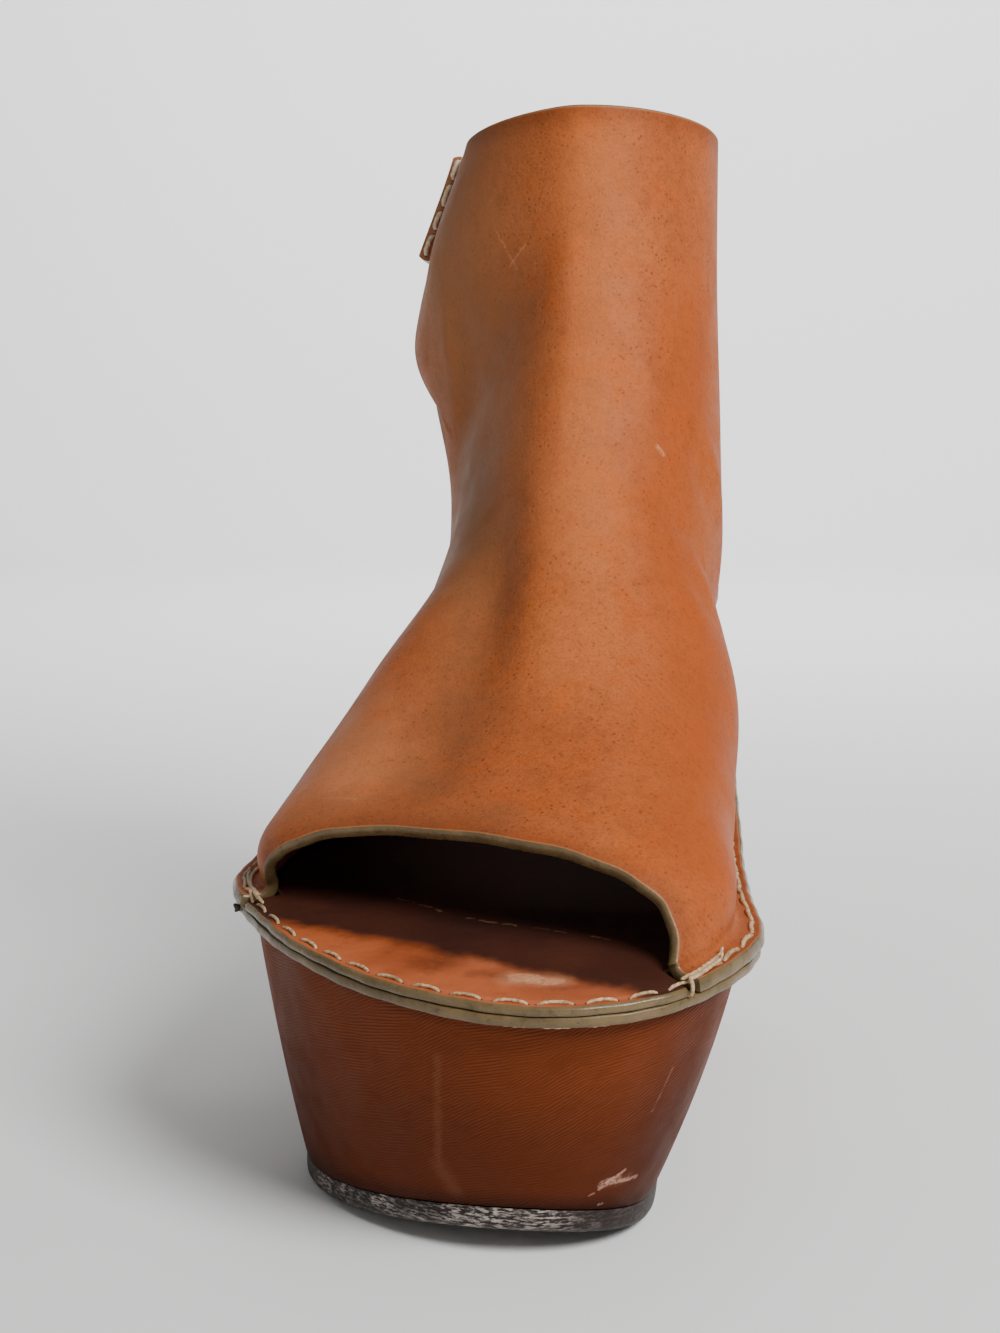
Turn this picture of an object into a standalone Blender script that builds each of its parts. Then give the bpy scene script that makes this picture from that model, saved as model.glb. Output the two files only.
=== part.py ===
"""Platform wedge sandal for the right foot.

An open-toed leather upper with an ankle cuff and an open heel stands on a leather-covered platform wedge.
Sizes are in millimetres and angles in degrees. X points to the inner side of the foot, U runs back from the
toe tip and Z up from the floor. One root empty centres the shoe over the origin.
"""

import math

import bpy
import numpy as np

MM = 0.001              # metres in a millimetre
GAP = 0.3               # clearance between neighbouring pieces
INNER, OUTER = 1, -1    # the side of the foot, as the sign of X

# Whole shoe
LENGTH = 236.0          # toe tip to heel tip of the seam ledge
OUTSOLE_T = 4.2         # outsole thickness
TOE_SPRING = 6.0        # lift of the outsole's toe tip
SPRING_END = 56.0       # the outsole lies flat behind this station
COVER_T = 1.8           # thickness of the wedge cover's ledge
INSOLE_T = 1.8
UPPER_T = 2.5
STRAP_T = 4.0           # two layers of leather
LEDGE_W = 5.0           # how far the sewn ledge stands out from the upper's wall
OVERHANG = 4.0          # how far it stands out from the wedge
INSOLE_INSET = 8.0      # insole inside the upper's wall; at the open toe and heel it covers the ledge
BEND_R = 1.5            # outside radius where the upper turns out on the ledge
COVE_R = 2.5            # radius under the wedge cover's ledge
COVE_ANGLES = (40.0, 90.0)  # places of the rings in that cove
WALL_SWELL = 1.2        # how far the wedge's walls swell at half height

# Plan outline of the seam ledge, from toe tip to heel tip
OUTLINE_COLUMNS = ("station", "centre", "half_width")
LEDGE = (
    (0.0, 16.0, 53.4),
    (34.0, 7.4, 53.4),
    (68.0, -1.4, 52.6),
    (88.0, -1.2, 50.4),
    (115.0, 1.0, 45.9),
    (145.0, 2.8, 39.7),
    (175.0, 3.5, 36.5),
    (200.0, 3.8, 35.5),
    (LENGTH, 4.0, 35.5),
)
LEDGE_TOE_RUN = 68.0    # length of the rounded toe
LEDGE_HEEL_RUN = 36.0

# Plan outline of the wedge where it meets the outsole
BASE = (
    (20.0, 9.4, 36.8),
    (65.0, -2.6, 36.8),
    (100.0, -1.6, 34.2),
    (135.0, 1.0, 30.0),
    (175.0, 3.5, 27.5),
    (192.0, 4.0, 27.5),
    (218.0, 4.5, 27.5),
)
BASE_TOE_RUN = 45.0
BASE_HEEL_RUN = 26.0

# Underside of the seam ledge: platform, arch and heel seat
PROFILE_COLUMNS = ("station", "height")
PROFILE = (
    (0.0, 51.5),
    (25.0, 54.3),
    (50.0, 56.0),
    (75.0, 57.4),
    (95.0, 61.0),
    (120.0, 71.5),
    (150.0, 87.0),
    (180.0, 100.5),
    (208.0, 109.0),
    (LENGTH, 114.0),
)

# Sections of the upper, from the toe opening (first) to the collar (last). Each runs from the ridge over a
# shoulder to the wall's foot or side. Shoulder and lift are shares, belly is how far the wall leans outward.
SECTION_COLUMNS = ("ridge_x", "ridge_u", "ridge_z", "inner_shoulder", "inner_lift", "inner_belly",
                   "outer_shoulder", "outer_lift", "outer_belly")
SECTIONS = (
    (0.0, 33.0, 78.5, 0.72, 0.62, 0.5, 0.76, 0.66, 0.0),
    (2.0, 50.0, 87.5, 0.80, 0.60, 4.0, 0.72, 0.58, 1.5),
    (5.0, 69.0, 101.0, 0.85, 0.60, 11.0, 0.63, 0.53, 3.5),
    (7.0, 87.0, 120.0, 0.86, 0.58, 17.0, 0.55, 0.47, 2.5),
    (9.0, 103.0, 144.0, 0.78, 0.54, 12.0, 0.37, 0.42, -2.5),
    (10.0, 114.0, 169.0, 0.68, 0.52, 4.0, 0.27, 0.46, -5.0),
    (10.0, 120.0, 189.0, 0.62, 0.52, 1.5, 0.25, 0.50, -10.0),
    (10.0, 124.0, 207.0, 0.58, 0.54, 1.0, 0.25, 0.52, -6.0),
    (10.0, 126.0, 224.0, 0.56, 0.55, 1.0, 0.27, 0.54, -3.0),
)

# Foot of the first sections on the ledge. Skew sets the outer end back and the inner end forward.
FOOT_COLUMNS = ("foot_u", "skew")
FEET = (
    (31.5, 18.5),
    (60.0, 13.0),
    (88.0, 7.0),
    (117.0, 2.0),
    (146.0, 0.0),
)
CORNER = len(FEET) - 1  # the section where the sewn foot ends and the open heel begins

# Side lines of the cuff, a row for each section after the corner
SIDE_COLUMNS = ("inner_x", "outer_x", "side_u", "side_z")
SIDES = (
    (42.0, -23.2, 147.0, 123.0),
    (41.5, -21.8, 151.0, 149.0),
    (40.0, -30.5, 158.0, 186.0),
    (39.5, -21.8, 165.0, 220.0),
)

# The cuff from its side lines to the back, a row for each section from the corner on. Turn is its rise where
# it leaves the side line, reach the length of that curve, and round the width of the curve behind the ankle.
BACK_COLUMNS = ("turn", "reach", "inner_round", "outer_round", "back_u", "back_z")
BACKS = (
    (42.0, 0.40, 26.0, 40.0, 219.0, 150.0),
    (34.0, 0.40, 26.0, 46.0, 218.5, 166.0),
    (24.0, 0.44, 25.0, 52.0, 217.5, 182.0),
    (10.0, 0.38, 24.0, 31.0, 216.0, 198.0),
    (-4.0, 0.36, 23.0, 27.0, 214.0, 213.0),
)

# Edge of the open heel: the lowest section that is leather, along the share from side line to back
EDGE_COLUMNS = ("share", "section")
EDGE = (
    (0.0, 4.0),
    (0.1, 5.2),
    (0.2, 5.75),
    (0.35, 5.95),
    (0.6, 5.9),
    (0.72, 5.95),
    (0.8, 6.2),
)
BACK_X = 5.0            # middle of the heel
REAR_EDGE = 0.80        # share of each flap that is leather; the rest is the gap at the back

# Back strap
STRAP_W = 24.5
STRAP_NECK_W = 20.0     # narrower behind the heel
STRAP_DROP = 1.0        # its upper edge below the collar
STRAP_OUTER_END = 0.19  # share of the outer flap where its sewn end starts
STRAP_INNER_END = 0.50

# Mesh steps
OUTLINE_STEPS = 34
FOOT_STEPS, CUFF_STEPS = 13, 11
ACROSS_STEPS, FLAP_STEPS = 13, 10
BEND_STEPS = 3
STRAP_STEPS, STRAP_ACROSS = 24, 4
STRAP_SAMPLES = 81      # heights tried when the strap's width is measured down the cuff
SMALL = 0.01            # step for slopes along rows and shares
SHARP_ANGLE = 40.0      # edges that turn by more are left sharp
STEP_RUN = 1.5          # length of a step in the insole's edge
WALL_SHARES = (0.2, 0.4, 0.6, 0.8)     # heights of the rings in the wedge's walls


def monotone_curve(knots, values):
    """Return a smooth curve through the values that never overshoots them."""
    x, y = np.asarray(knots, float), np.asarray(values, float)
    width = np.diff(x)
    rise = np.diff(y) / width
    slope = np.concatenate(([rise[0]], (rise[:-1] + rise[1:]) / 2, [rise[-1]]))
    for i in range(1, len(x) - 1):
        limit = 2 * min(abs(rise[i - 1]), abs(rise[i]))
        if rise[i - 1] * rise[i] <= 0:
            slope[i] = 0.0
        else:
            slope[i] = math.copysign(min(abs(slope[i]), limit), rise[i])

    def at(t):
        i = int(np.clip(np.searchsorted(x, t) - 1, 0, len(x) - 2))
        w = width[i]
        a = (t - x[i]) / w
        return ((1 + 2 * a) * (1 - a) ** 2 * y[i] + a * (1 - a) ** 2 * w * slope[i]
                + a * a * (3 - 2 * a) * y[i + 1] + a * a * (a - 1) * w * slope[i + 1])

    return at


def column(table, columns, name):
    """One named column of a table."""
    return [row[columns.index(name)] for row in table]


def table_curve(table, columns, along, name):
    """A curve for one column along another."""
    return monotone_curve(column(table, columns, along), column(table, columns, name))


def columns_by_row(table, columns, first=0):
    """A curve for every column, along the row number."""
    rows = range(first, first + len(table))
    return {name: monotone_curve(rows, column(table, columns, name)) for name in columns}


def bezier(a, b, c, d, t):
    """Point on a cubic curve."""
    s = 1 - t
    return s ** 3 * a + 3 * s * s * t * b + 3 * s * t * t * c + t ** 3 * d


def unit(v):
    return v / np.linalg.norm(v)


def quarter_round(share):
    """Width of a rounded end, from 0 at its tip to 1 where it runs straight."""
    return math.sqrt(1 - (1 - min(1.0, max(0.0, share))) ** 2)


class Outline:
    """A closed plan outline, found by its share of the way from toe tip to heel tip."""

    def __init__(self, table, toe_run, heel_run):
        stations = column(table, OUTLINE_COLUMNS, "station")
        self.toe, self.heel = stations[0], stations[-1]
        self.toe_run, self.heel_run = toe_run, heel_run
        self.centre = table_curve(table, OUTLINE_COLUMNS, "station", "centre")
        self.half = table_curve(table, OUTLINE_COLUMNS, "station", "half_width")

    def share(self, station):
        return math.acos(1 - 2 * (station - self.toe) / (self.heel - self.toe)) / math.pi

    def edge(self, share, side):
        station = self.toe + (self.heel - self.toe) * (1 - math.cos(math.pi * share)) / 2
        toe_round = quarter_round((station - self.toe) / self.toe_run)
        heel_round = quarter_round((self.heel - station) / self.heel_run)
        half = self.half(station) * toe_round * heel_round
        return np.array([self.centre(station) + side * half, station])

    def outward(self, share, side):
        """Unit normal of the outline, pointing away from the shoe."""
        step = 0.002
        if share < step or share > 1 - step:
            return np.array([0.0, -1.0 if share < step else 1.0])
        along = self.edge(share + step, side) - self.edge(share - step, side)
        return unit(np.array([side * along[1], -side * along[0]]))

    def point(self, share, side, inset=0.0):
        return self.edge(share, side) - inset * self.outward(share, side)

    def ring(self, inset=0.0):
        """Points round the outline: toe tip, outer side, heel tip, inner side."""
        shares = [i / OUTLINE_STEPS for i in range(OUTLINE_STEPS + 1)]
        outer = [self.point(k, OUTER, inset) for k in shares]
        inner = [self.point(k, INNER, inset) for k in shares[1:-1]]
        return np.array(outer + inner[::-1])


ledge = Outline(LEDGE, LEDGE_TOE_RUN, LEDGE_HEEL_RUN)
base = Outline(BASE, BASE_TOE_RUN, BASE_HEEL_RUN)
ledge_height = table_curve(PROFILE, PROFILE_COLUMNS, "station", "height")
section = columns_by_row(SECTIONS, SECTION_COLUMNS)
foot = columns_by_row(FEET, FOOT_COLUMNS)

SECOND_Z = COVER_T + GAP            # underside of insole and turned-out margin, above the ledge's underside
INSOLE_TOP_Z = SECOND_Z + INSOLE_T
MARGIN_TOP_Z = SECOND_Z + UPPER_T


def layer(station, height):
    """Height of a layer over the footbed, measured square to its slope from the ledge's underside."""
    step = 0.5
    low, high = max(0.0, station - step), min(LENGTH, station + step)
    slope = (ledge_height(high) - ledge_height(low)) / (high - low)
    return ledge_height(station) + height * math.hypot(1.0, slope)


def floor_height(station):
    """Underside of the outsole: flat, rising at the toe."""
    rise = max(0.0, (SPRING_END - station) / (SPRING_END - base.toe))
    return TOE_SPRING * rise ** 2


def foot_share(row, side, beyond=0.0):
    """Place on the ledge's outline where a section of the upper stands, or a little beyond it."""
    return ledge.share(foot["foot_u"](row) - side * foot["skew"](row) + beyond)


def foot_point(row, side):
    """Outer face of the upper's wall, just above the bend on to the ledge."""
    x, u = ledge.point(foot_share(row, side), side, LEDGE_W)
    return np.array([x, u, layer(u, MARGIN_TOP_Z + BEND_R)])


def side_line(side):
    """Curves for X, U and Z of one side line, from the corner on the ledge to the collar."""
    name = "inner_x" if side == INNER else "outer_x"
    rows = zip(*(column(SIDES, SIDE_COLUMNS, key) for key in (name, "side_u", "side_z")))
    points = [foot_point(CORNER, side), *rows]
    numbers = range(CORNER, CORNER + len(points))
    return [monotone_curve(numbers, [point[axis] for point in points]) for axis in range(3)]


side_lines = {side: side_line(side) for side in (INNER, OUTER)}
cuff = columns_by_row(BACKS, BACK_COLUMNS, CORNER)
edge_section = table_curve(EDGE, EDGE_COLUMNS, "share", "section")
LAST = len(SECTIONS) - 1


def side_point(row, side):
    """Where a section ends: on the ledge up to the corner, on the cuff's side above it."""
    if row <= CORNER:
        return foot_point(row, side)
    return np.array([line(row) for line in side_lines[side]])


def section_curve(row, side):
    """Control points of one half of a section, from the ridge to its side."""
    name = "inner_" if side == INNER else "outer_"
    ridge = np.array([section["ridge_x"](row), section["ridge_u"](row), section["ridge_z"](row)])
    end = side_point(row, side)
    skew = foot["skew"](row) if row < CORNER else 0.0
    shoulder = section[name + "shoulder"](row)
    lift = section[name + "lift"](row)
    belly = section[name + "belly"](row)
    over = ridge + np.array([shoulder * (end[0] - ridge[0]), -side * skew * shoulder, 0.0])
    wall = end + np.array([side * belly, lift * (ridge[1] - end[1]), lift * (ridge[2] - end[2])])
    return ridge, over, wall, end


def vamp_point(row, across):
    """Outer face of the upper's front; across runs from -1 at the outer side to 1 at the inner side."""
    side = INNER if across >= 0 else OUTER
    return bezier(*section_curve(row, side), abs(across))


def flap_curve(row, side):
    """Control points of the cuff from its side line round to the middle of the back."""
    start = side_point(row, side)
    _, _, wall, end = section_curve(row, side)
    onward = unit(end - wall)
    above, below = min(row + SMALL, LAST), max(row - SMALL, CORNER)
    upward = unit(side_point(above, side) - side_point(below, side))
    turn = math.radians(cuff["turn"](row))
    aim = np.array([math.cos(turn), math.sin(turn)])
    mix = np.linalg.solve(np.column_stack((onward[1:], upward[1:])), aim)
    heading = onward * mix[0] + upward * mix[1]
    back = np.array([BACK_X, cuff["back_u"](row), cuff["back_z"](row)])
    reach = cuff["reach"](row) * np.linalg.norm(back - start)
    width = cuff["inner_round" if side == INNER else "outer_round"](row)
    round_back = np.array([side * width, 0.0, 0.0])
    return start, start + reach * heading, back + round_back, back


def flap_point(row, side, share):
    """Outer face of the cuff; share runs from its side line to the middle of the back."""
    return bezier(*flap_curve(row, side), share)


def flap_normal(row, side, share):
    """Outward normal of the cuff."""
    row = min(max(row, CORNER + SMALL), LAST - SMALL)
    share = min(max(share, SMALL), 1 - SMALL)
    along = flap_point(row, side, share + SMALL) - flap_point(row, side, share - SMALL)
    up = flap_point(row + SMALL, side, share) - flap_point(row - SMALL, side, share)
    return unit(np.cross(along, up)) * side


def margin_point(row, side, part):
    """Upper face of the turned-out margin; part runs from 0 at the wall to BEND_STEPS + 1 at the raw edge."""
    share = foot_share(row, side)
    if part > BEND_STEPS:
        x, u = ledge.point(share, side)
        return np.array([x, u, layer(u, MARGIN_TOP_Z)])
    angle = math.radians(90) * part / BEND_STEPS
    x, u = ledge.point(share, side, LEDGE_W - BEND_R * (1 - math.cos(angle)))
    return np.array([x, u, layer(u, MARGIN_TOP_Z + BEND_R * (1 - math.sin(angle)))])


def add_object(name, vertices, faces, material):
    """A mesh object from millimetre points, under the root."""
    mesh = bpy.data.meshes.new(name)
    mesh.from_pydata([tuple(v * MM) for v in vertices], [], faces)
    mesh.validate()
    mesh.shade_smooth()
    mesh.set_sharp_from_angle(angle=math.radians(SHARP_ANGLE))
    mesh.materials.append(material)
    piece = bpy.data.objects.new(name, mesh)
    bpy.context.collection.objects.link(piece)
    piece.parent = root
    return piece


def add_material(name, colour, roughness):
    material = bpy.data.materials.new(name)
    material.use_nodes = True
    shader = material.node_tree.nodes["Principled BSDF"]
    shader.inputs["Base Color"].default_value = (*colour, 1.0)
    shader.inputs["Roughness"].default_value = roughness
    return material


def stack_solid(rings):
    """Close a stack of outline rings, lowest first, with a ladder of faces at each end."""
    count = len(rings[0])
    vertices = np.vstack(rings)
    faces = []
    for level in range(len(rings) - 1):
        low, high = level * count, (level + 1) * count
        for i in range(count):
            j = (i + 1) % count
            faces.append((low + i, high + i, high + j, low + j))
    top = (len(rings) - 1) * count
    for i in range(count // 2):
        outer, outer_next = i, i + 1
        inner, inner_next = (count - i) % count, count - i - 1
        ladder = list(dict.fromkeys((outer, outer_next, inner_next, inner)))
        faces.append(tuple(ladder))
        faces.append(tuple(top + k for k in reversed(ladder)))
    return vertices, faces


def raised(ring, height):
    """A plan ring at the height that a function gives for each station."""
    return np.array([(x, u, height(u)) for x, u in ring])


def outsole_solid():
    ring = base.ring()
    return stack_solid([raised(ring, floor_height), raised(ring, lambda u: floor_height(u) + OUTSOLE_T)])


def wedge_solid():
    """The covered wedge: leaning walls, a cove under the ledge, and the ledge."""
    low = raised(base.ring(), lambda u: floor_height(u) + OUTSOLE_T + GAP)
    high = raised(ledge.ring(OVERHANG), lambda u: ledge_height(u) - COVE_R)
    rings = [low]
    for share in WALL_SHARES:
        swell = 4 * share * (1 - share) * WALL_SWELL
        plan = base.ring(-swell) + share * (ledge.ring(OVERHANG - swell) - base.ring(-swell))
        rings.append(np.column_stack((plan, low[:, 2] + share * (high[:, 2] - low[:, 2]))))
    rings.append(high)
    for angle in np.radians(COVE_ANGLES):
        inset = OVERHANG - COVE_R * (1 - math.cos(angle))
        drop = COVE_R * (1 - math.sin(angle))
        rings.append(raised(ledge.ring(inset), lambda u, drop=drop: ledge_height(u) - drop))
    rings.append(raised(ledge.ring(), ledge_height))
    rings.append(raised(ledge.ring(), lambda u: layer(u, COVER_T)))
    return stack_solid(rings)


def insole_ring():
    """Outline of the insole, stepped inside the upper's wall between the toe and heel openings."""
    clear = 2 * GAP
    shares = {i / OUTLINE_STEPS for i in range(OUTLINE_STEPS + 1)}
    inside = {}
    for side in (INNER, OUTER):
        inside[side] = foot_share(0, side, -clear), foot_share(CORNER, side, clear)
        wide = foot_share(0, side, -clear - STEP_RUN), foot_share(CORNER, side, clear + STEP_RUN)
        shares.update(inside[side] + wide)
    edges = {}
    for side, (front, rear) in inside.items():
        insets = [INSOLE_INSET if front <= share <= rear else 0.0 for share in sorted(shares)]
        edges[side] = [ledge.point(share, side, inset) for share, inset in zip(sorted(shares), insets)]
    return np.array(edges[OUTER] + edges[INNER][-2:0:-1])


def insole_solid():
    ring = insole_ring()
    return stack_solid([raised(ring, lambda u: layer(u, SECOND_Z)),
                        raised(ring, lambda u: layer(u, INSOLE_TOP_Z))])


def shell_solid(vertices, faces, thickness):
    """Give a sheet its thickness, measured inward from the given face."""
    vertices = np.array(vertices)
    normals = np.zeros_like(vertices)
    for face in faces:
        a, b, c, d = (vertices[i] for i in face)
        for i in face:
            normals[i] += np.cross(c - a, d - b)
    normals /= np.linalg.norm(normals, axis=1)[:, None]
    count = len(vertices)
    edges = {(face[i], face[(i + 1) % 4]) for face in faces for i in range(4)}
    rim = [(b, a, a + count, b + count) for a, b in edges if (b, a) not in edges]
    inner = [tuple(i + count for i in reversed(face)) for face in faces]
    return np.vstack((vertices, vertices - thickness * normals)), list(faces) + inner + sorted(rim)


def upper_sheet():
    """Outer face of the upper: the front, the turned-out margins and the cuff's flaps."""
    vertices, index, faces = [], {}, []

    def put(key, point):
        index[key] = len(vertices)
        vertices.append(point)

    def fill(keys):
        """Quads over a grid of keys, a list for each row."""
        for low, high in zip(keys, keys[1:]):
            for i in range(len(low) - 1):
                faces.append((index[low[i]], index[low[i + 1]], index[high[i + 1]], index[high[i]]))

    rows = [CORNER * i / FOOT_STEPS for i in range(FOOT_STEPS)]
    rows += [CORNER + (LAST - CORNER) * i / CUFF_STEPS for i in range(CUFF_STEPS + 1)]
    across = range(-ACROSS_STEPS, ACROSS_STEPS + 1)
    for i, row in enumerate(rows):
        for j in across:
            put(("vamp", i, j), vamp_point(row, j / ACROSS_STEPS))
    fill([[("vamp", i, j) for j in across] for i in range(len(rows))])

    for side in (INNER, OUTER):
        edge = side * ACROSS_STEPS
        for i in range(FOOT_STEPS + 1):
            for part in range(1, BEND_STEPS + 2):
                put((side, "margin", i, part), margin_point(rows[i], side, part))
        for i in range(FOOT_STEPS, len(rows)):
            for k in range(1, FLAP_STEPS + 1):
                share = REAR_EDGE * k / FLAP_STEPS
                low = edge_section(share)
                row = low + (LAST - low) * (rows[i] - CORNER) / (LAST - CORNER)
                put((side, "flap", i, k), flap_point(row, side, share))
        margin = [[("vamp", i, edge)] + [(side, "margin", i, part) for part in range(1, BEND_STEPS + 2)]
                  for i in range(FOOT_STEPS + 1)]
        flap = [[("vamp", i, edge)] + [(side, "flap", i, k) for k in range(1, FLAP_STEPS + 1)]
                for i in range(FOOT_STEPS, len(rows))]
        for block in (margin, flap):
            fill(block if side == INNER else [row[::-1] for row in block])
    return vertices, faces


def strap_sheet():
    """Outer face of the back strap, laid on the cuff and across the gap behind the heel."""
    outer_run, inner_run = 1 - STRAP_OUTER_END, 1 - STRAP_INNER_END
    vertices = []
    for i in range(STRAP_STEPS + 1):
        way = i / STRAP_STEPS * (outer_run + inner_run) - outer_run
        side = OUTER if way < 0 else INNER
        share = 1 - abs(way)
        neck = max(0.0, 1 - (way / min(outer_run, inner_run)) ** 2)
        width = STRAP_W - (STRAP_W - STRAP_NECK_W) * neck
        rows = np.linspace(LAST, CORNER, STRAP_SAMPLES)
        heights = [flap_point(row, side, share)[2] for row in rows]
        for j in range(STRAP_ACROSS + 1):
            depth = STRAP_DROP + width * j / STRAP_ACROSS
            row = float(np.interp(heights[0] - depth, heights[::-1], rows[::-1]))
            outward = flap_normal(row, side, share)
            vertices.append(flap_point(row, side, share) + (GAP + STRAP_T) * outward)
    faces = []
    width = STRAP_ACROSS + 1
    for i in range(STRAP_STEPS):
        for j in range(STRAP_ACROSS):
            a = i * width + j
            faces.append((a, a + width, a + width + 1, a + 1))
    return vertices, faces


for old in list(bpy.data.objects):
    bpy.data.objects.remove(old, do_unlink=True)

root = bpy.data.objects.new("sandal", None)
bpy.context.collection.objects.link(root)

tan_leather = add_material("tan_leather", (0.51, 0.13, 0.032), 0.42)
cover_leather = add_material("cover_leather", (0.23, 0.055, 0.018), 0.40)
insole_leather = add_material("insole_leather", (0.30, 0.09, 0.03), 0.30)
strap_leather = add_material("strap_leather", (0.38, 0.10, 0.03), 0.42)
outsole_rubber = add_material("outsole_rubber", (0.035, 0.026, 0.022), 0.7)

add_object("outsole", *outsole_solid(), outsole_rubber)
add_object("wedge", *wedge_solid(), cover_leather)
add_object("insole", *insole_solid(), insole_leather)
add_object("upper", *shell_solid(*upper_sheet(), UPPER_T), tan_leather)
add_object("back_strap", *shell_solid(*strap_sheet(), STRAP_T), strap_leather)

ledge_x = ledge.ring()[:, 0]
root.location = (-(ledge_x.min() + ledge_x.max()) / 2 * MM, -LENGTH / 2 * MM, 0.0)
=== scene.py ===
"""Looks of the platform wedge sandal: leather, raw edges, thread and wear, with light and camera.

Every piece repeats the part's sizes and curves on a finer mesh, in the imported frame. Sizes are in
millimetres and angles in degrees until a mesh is made. X points to the inner side of the foot, U runs back
from the toe tip and Z up from the floor. A place is its X, U and Z.
"""

import math
from functools import lru_cache, reduce

import bpy
import numpy as np
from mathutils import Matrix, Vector
from mathutils.kdtree import KDTree

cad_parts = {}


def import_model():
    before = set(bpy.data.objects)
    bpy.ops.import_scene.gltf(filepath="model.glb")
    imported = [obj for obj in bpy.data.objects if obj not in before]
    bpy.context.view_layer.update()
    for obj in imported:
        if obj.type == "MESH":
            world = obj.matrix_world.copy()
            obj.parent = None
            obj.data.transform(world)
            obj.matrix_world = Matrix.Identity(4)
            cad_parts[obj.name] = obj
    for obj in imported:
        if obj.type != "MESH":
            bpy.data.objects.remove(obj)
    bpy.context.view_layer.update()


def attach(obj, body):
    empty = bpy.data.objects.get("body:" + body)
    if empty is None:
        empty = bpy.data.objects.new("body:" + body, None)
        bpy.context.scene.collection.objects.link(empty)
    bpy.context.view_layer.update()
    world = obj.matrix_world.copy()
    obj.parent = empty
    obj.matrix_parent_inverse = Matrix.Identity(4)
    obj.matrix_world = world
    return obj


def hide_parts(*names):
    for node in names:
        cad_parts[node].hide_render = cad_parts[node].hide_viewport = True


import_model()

MM = 0.001              # metres in a millimetre
GAP = 0.3               # clearance between neighbouring pieces
INNER, OUTER = 1, -1    # the side of the foot, as the sign of X
SIDES = (INNER, OUTER)

# Whole shoe, as in the part
LENGTH = 236.0          # toe tip to heel tip of the seam ledge
OUTSOLE_T = 4.2         # outsole thickness
TOE_SPRING = 6.0        # lift of the outsole's toe tip
SPRING_END = 56.0       # the outsole lies flat behind this station
COVER_T = 1.8           # thickness of the wedge cover's ledge
INSOLE_T = 1.8
UPPER_T = 2.5
STRAP_T = 4.0           # two layers of leather
LEDGE_W = 5.0           # how far the sewn ledge stands out from the upper's wall
OVERHANG = 4.0          # how far it stands out from the wedge
INSOLE_INSET = 8.0      # insole inside the upper's wall; at the open toe and heel it covers the ledge
BEND_R = 1.5            # outside radius where the upper turns out on the ledge
COVE_R = 2.5            # radius under the wedge cover's ledge
WALL_SWELL = 1.2        # how far the wedge's walls swell at half height
SECOND_Z = COVER_T + GAP            # underside of insole and turned-out margin, above the ledge's underside
INSOLE_TOP_Z = SECOND_Z + INSOLE_T
MARGIN_TOP_Z = SECOND_Z + UPPER_T

# Plan outline of the seam ledge, from toe tip to heel tip: station, centre and half width
LEDGE = (
    (0, 16, 53.4),
    (34, 7.4, 53.4),
    (68, -1.4, 52.6),
    (88, -1.2, 50.4),
    (115, 1, 45.9),
    (145, 2.8, 39.7),
    (175, 3.5, 36.5),
    (200, 3.8, 35.5),
    (LENGTH, 4, 35.5),
)
LEDGE_TOE_RUN = 68.0    # length of the rounded toe
LEDGE_HEEL_RUN = 36.0

# Plan outline of the wedge where it meets the outsole
BASE = (
    (20, 9.4, 36.8),
    (65, -2.6, 36.8),
    (100, -1.6, 34.2),
    (135, 1, 30),
    (175, 3.5, 27.5),
    (192, 4, 27.5),
    (218, 4.5, 27.5),
)
BASE_TOE_RUN = 45.0
BASE_HEEL_RUN = 26.0

# Underside of the seam ledge, station and height: platform, arch and heel seat
PROFILE = (
    (0, 51.5),
    (25, 54.3),
    (50, 56),
    (75, 57.4),
    (95, 61),
    (120, 71.5),
    (150, 87),
    (180, 100.5),
    (208, 109),
    (LENGTH, 114),
)

# Sections of the upper, from the toe opening (first) to the collar (last): a place on the ridge, then
# shoulder, lift and belly of the inner half and of the outer half. Each half runs from the ridge over a
# shoulder to the wall's foot or side. Shoulder and lift are shares, belly is how far the wall leans outward.
SECTIONS = (
    (0, 33, 78.5, 0.72, 0.62, 0.5, 0.76, 0.66, 0),
    (2, 50, 87.5, 0.80, 0.60, 4, 0.72, 0.58, 1.5),
    (5, 69, 101, 0.85, 0.60, 11, 0.63, 0.53, 3.5),
    (7, 87, 120, 0.86, 0.58, 17, 0.55, 0.47, 2.5),
    (9, 103, 144, 0.78, 0.54, 12, 0.37, 0.42, -2.5),
    (10, 114, 169, 0.68, 0.52, 4, 0.27, 0.46, -5),
    (10, 120, 189, 0.62, 0.52, 1.5, 0.25, 0.50, -10),
    (10, 124, 207, 0.58, 0.54, 1, 0.25, 0.52, -6),
    (10, 126, 224, 0.56, 0.55, 1, 0.27, 0.54, -3),
)
LAST = len(SECTIONS) - 1

# Foot of the first sections on the ledge: station, and skew that sets the outer end back, the inner forward
FEET = (
    (31.5, 18.5),
    (60, 13),
    (88, 7),
    (117, 2),
    (146, 0),
)
CORNER = len(FEET) - 1  # the section where the sewn foot ends and the open heel begins

# Side lines of the cuff, a row for each section after the corner: inner X, outer X, U and Z
CUFF_SIDES = (
    (42, -23.2, 147, 123),
    (41.5, -21.8, 151, 149),
    (40, -30.5, 158, 186),
    (39.5, -21.8, 165, 220),
)

# The cuff from its side lines to the back, a row for each section from the corner on: turn, reach, inner and
# outer round, U and Z at the back. Turn is its rise where it leaves the side line, reach the length of that
# curve, and round the width of the curve behind the ankle.
BACKS = (
    (42, 0.40, 26, 40, 219, 150),
    (34, 0.40, 26, 46, 218.5, 166),
    (24, 0.44, 25, 52, 217.5, 182),
    (10, 0.38, 24, 31, 216, 198),
    (-4, 0.36, 23, 27, 214, 213),
)

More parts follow.
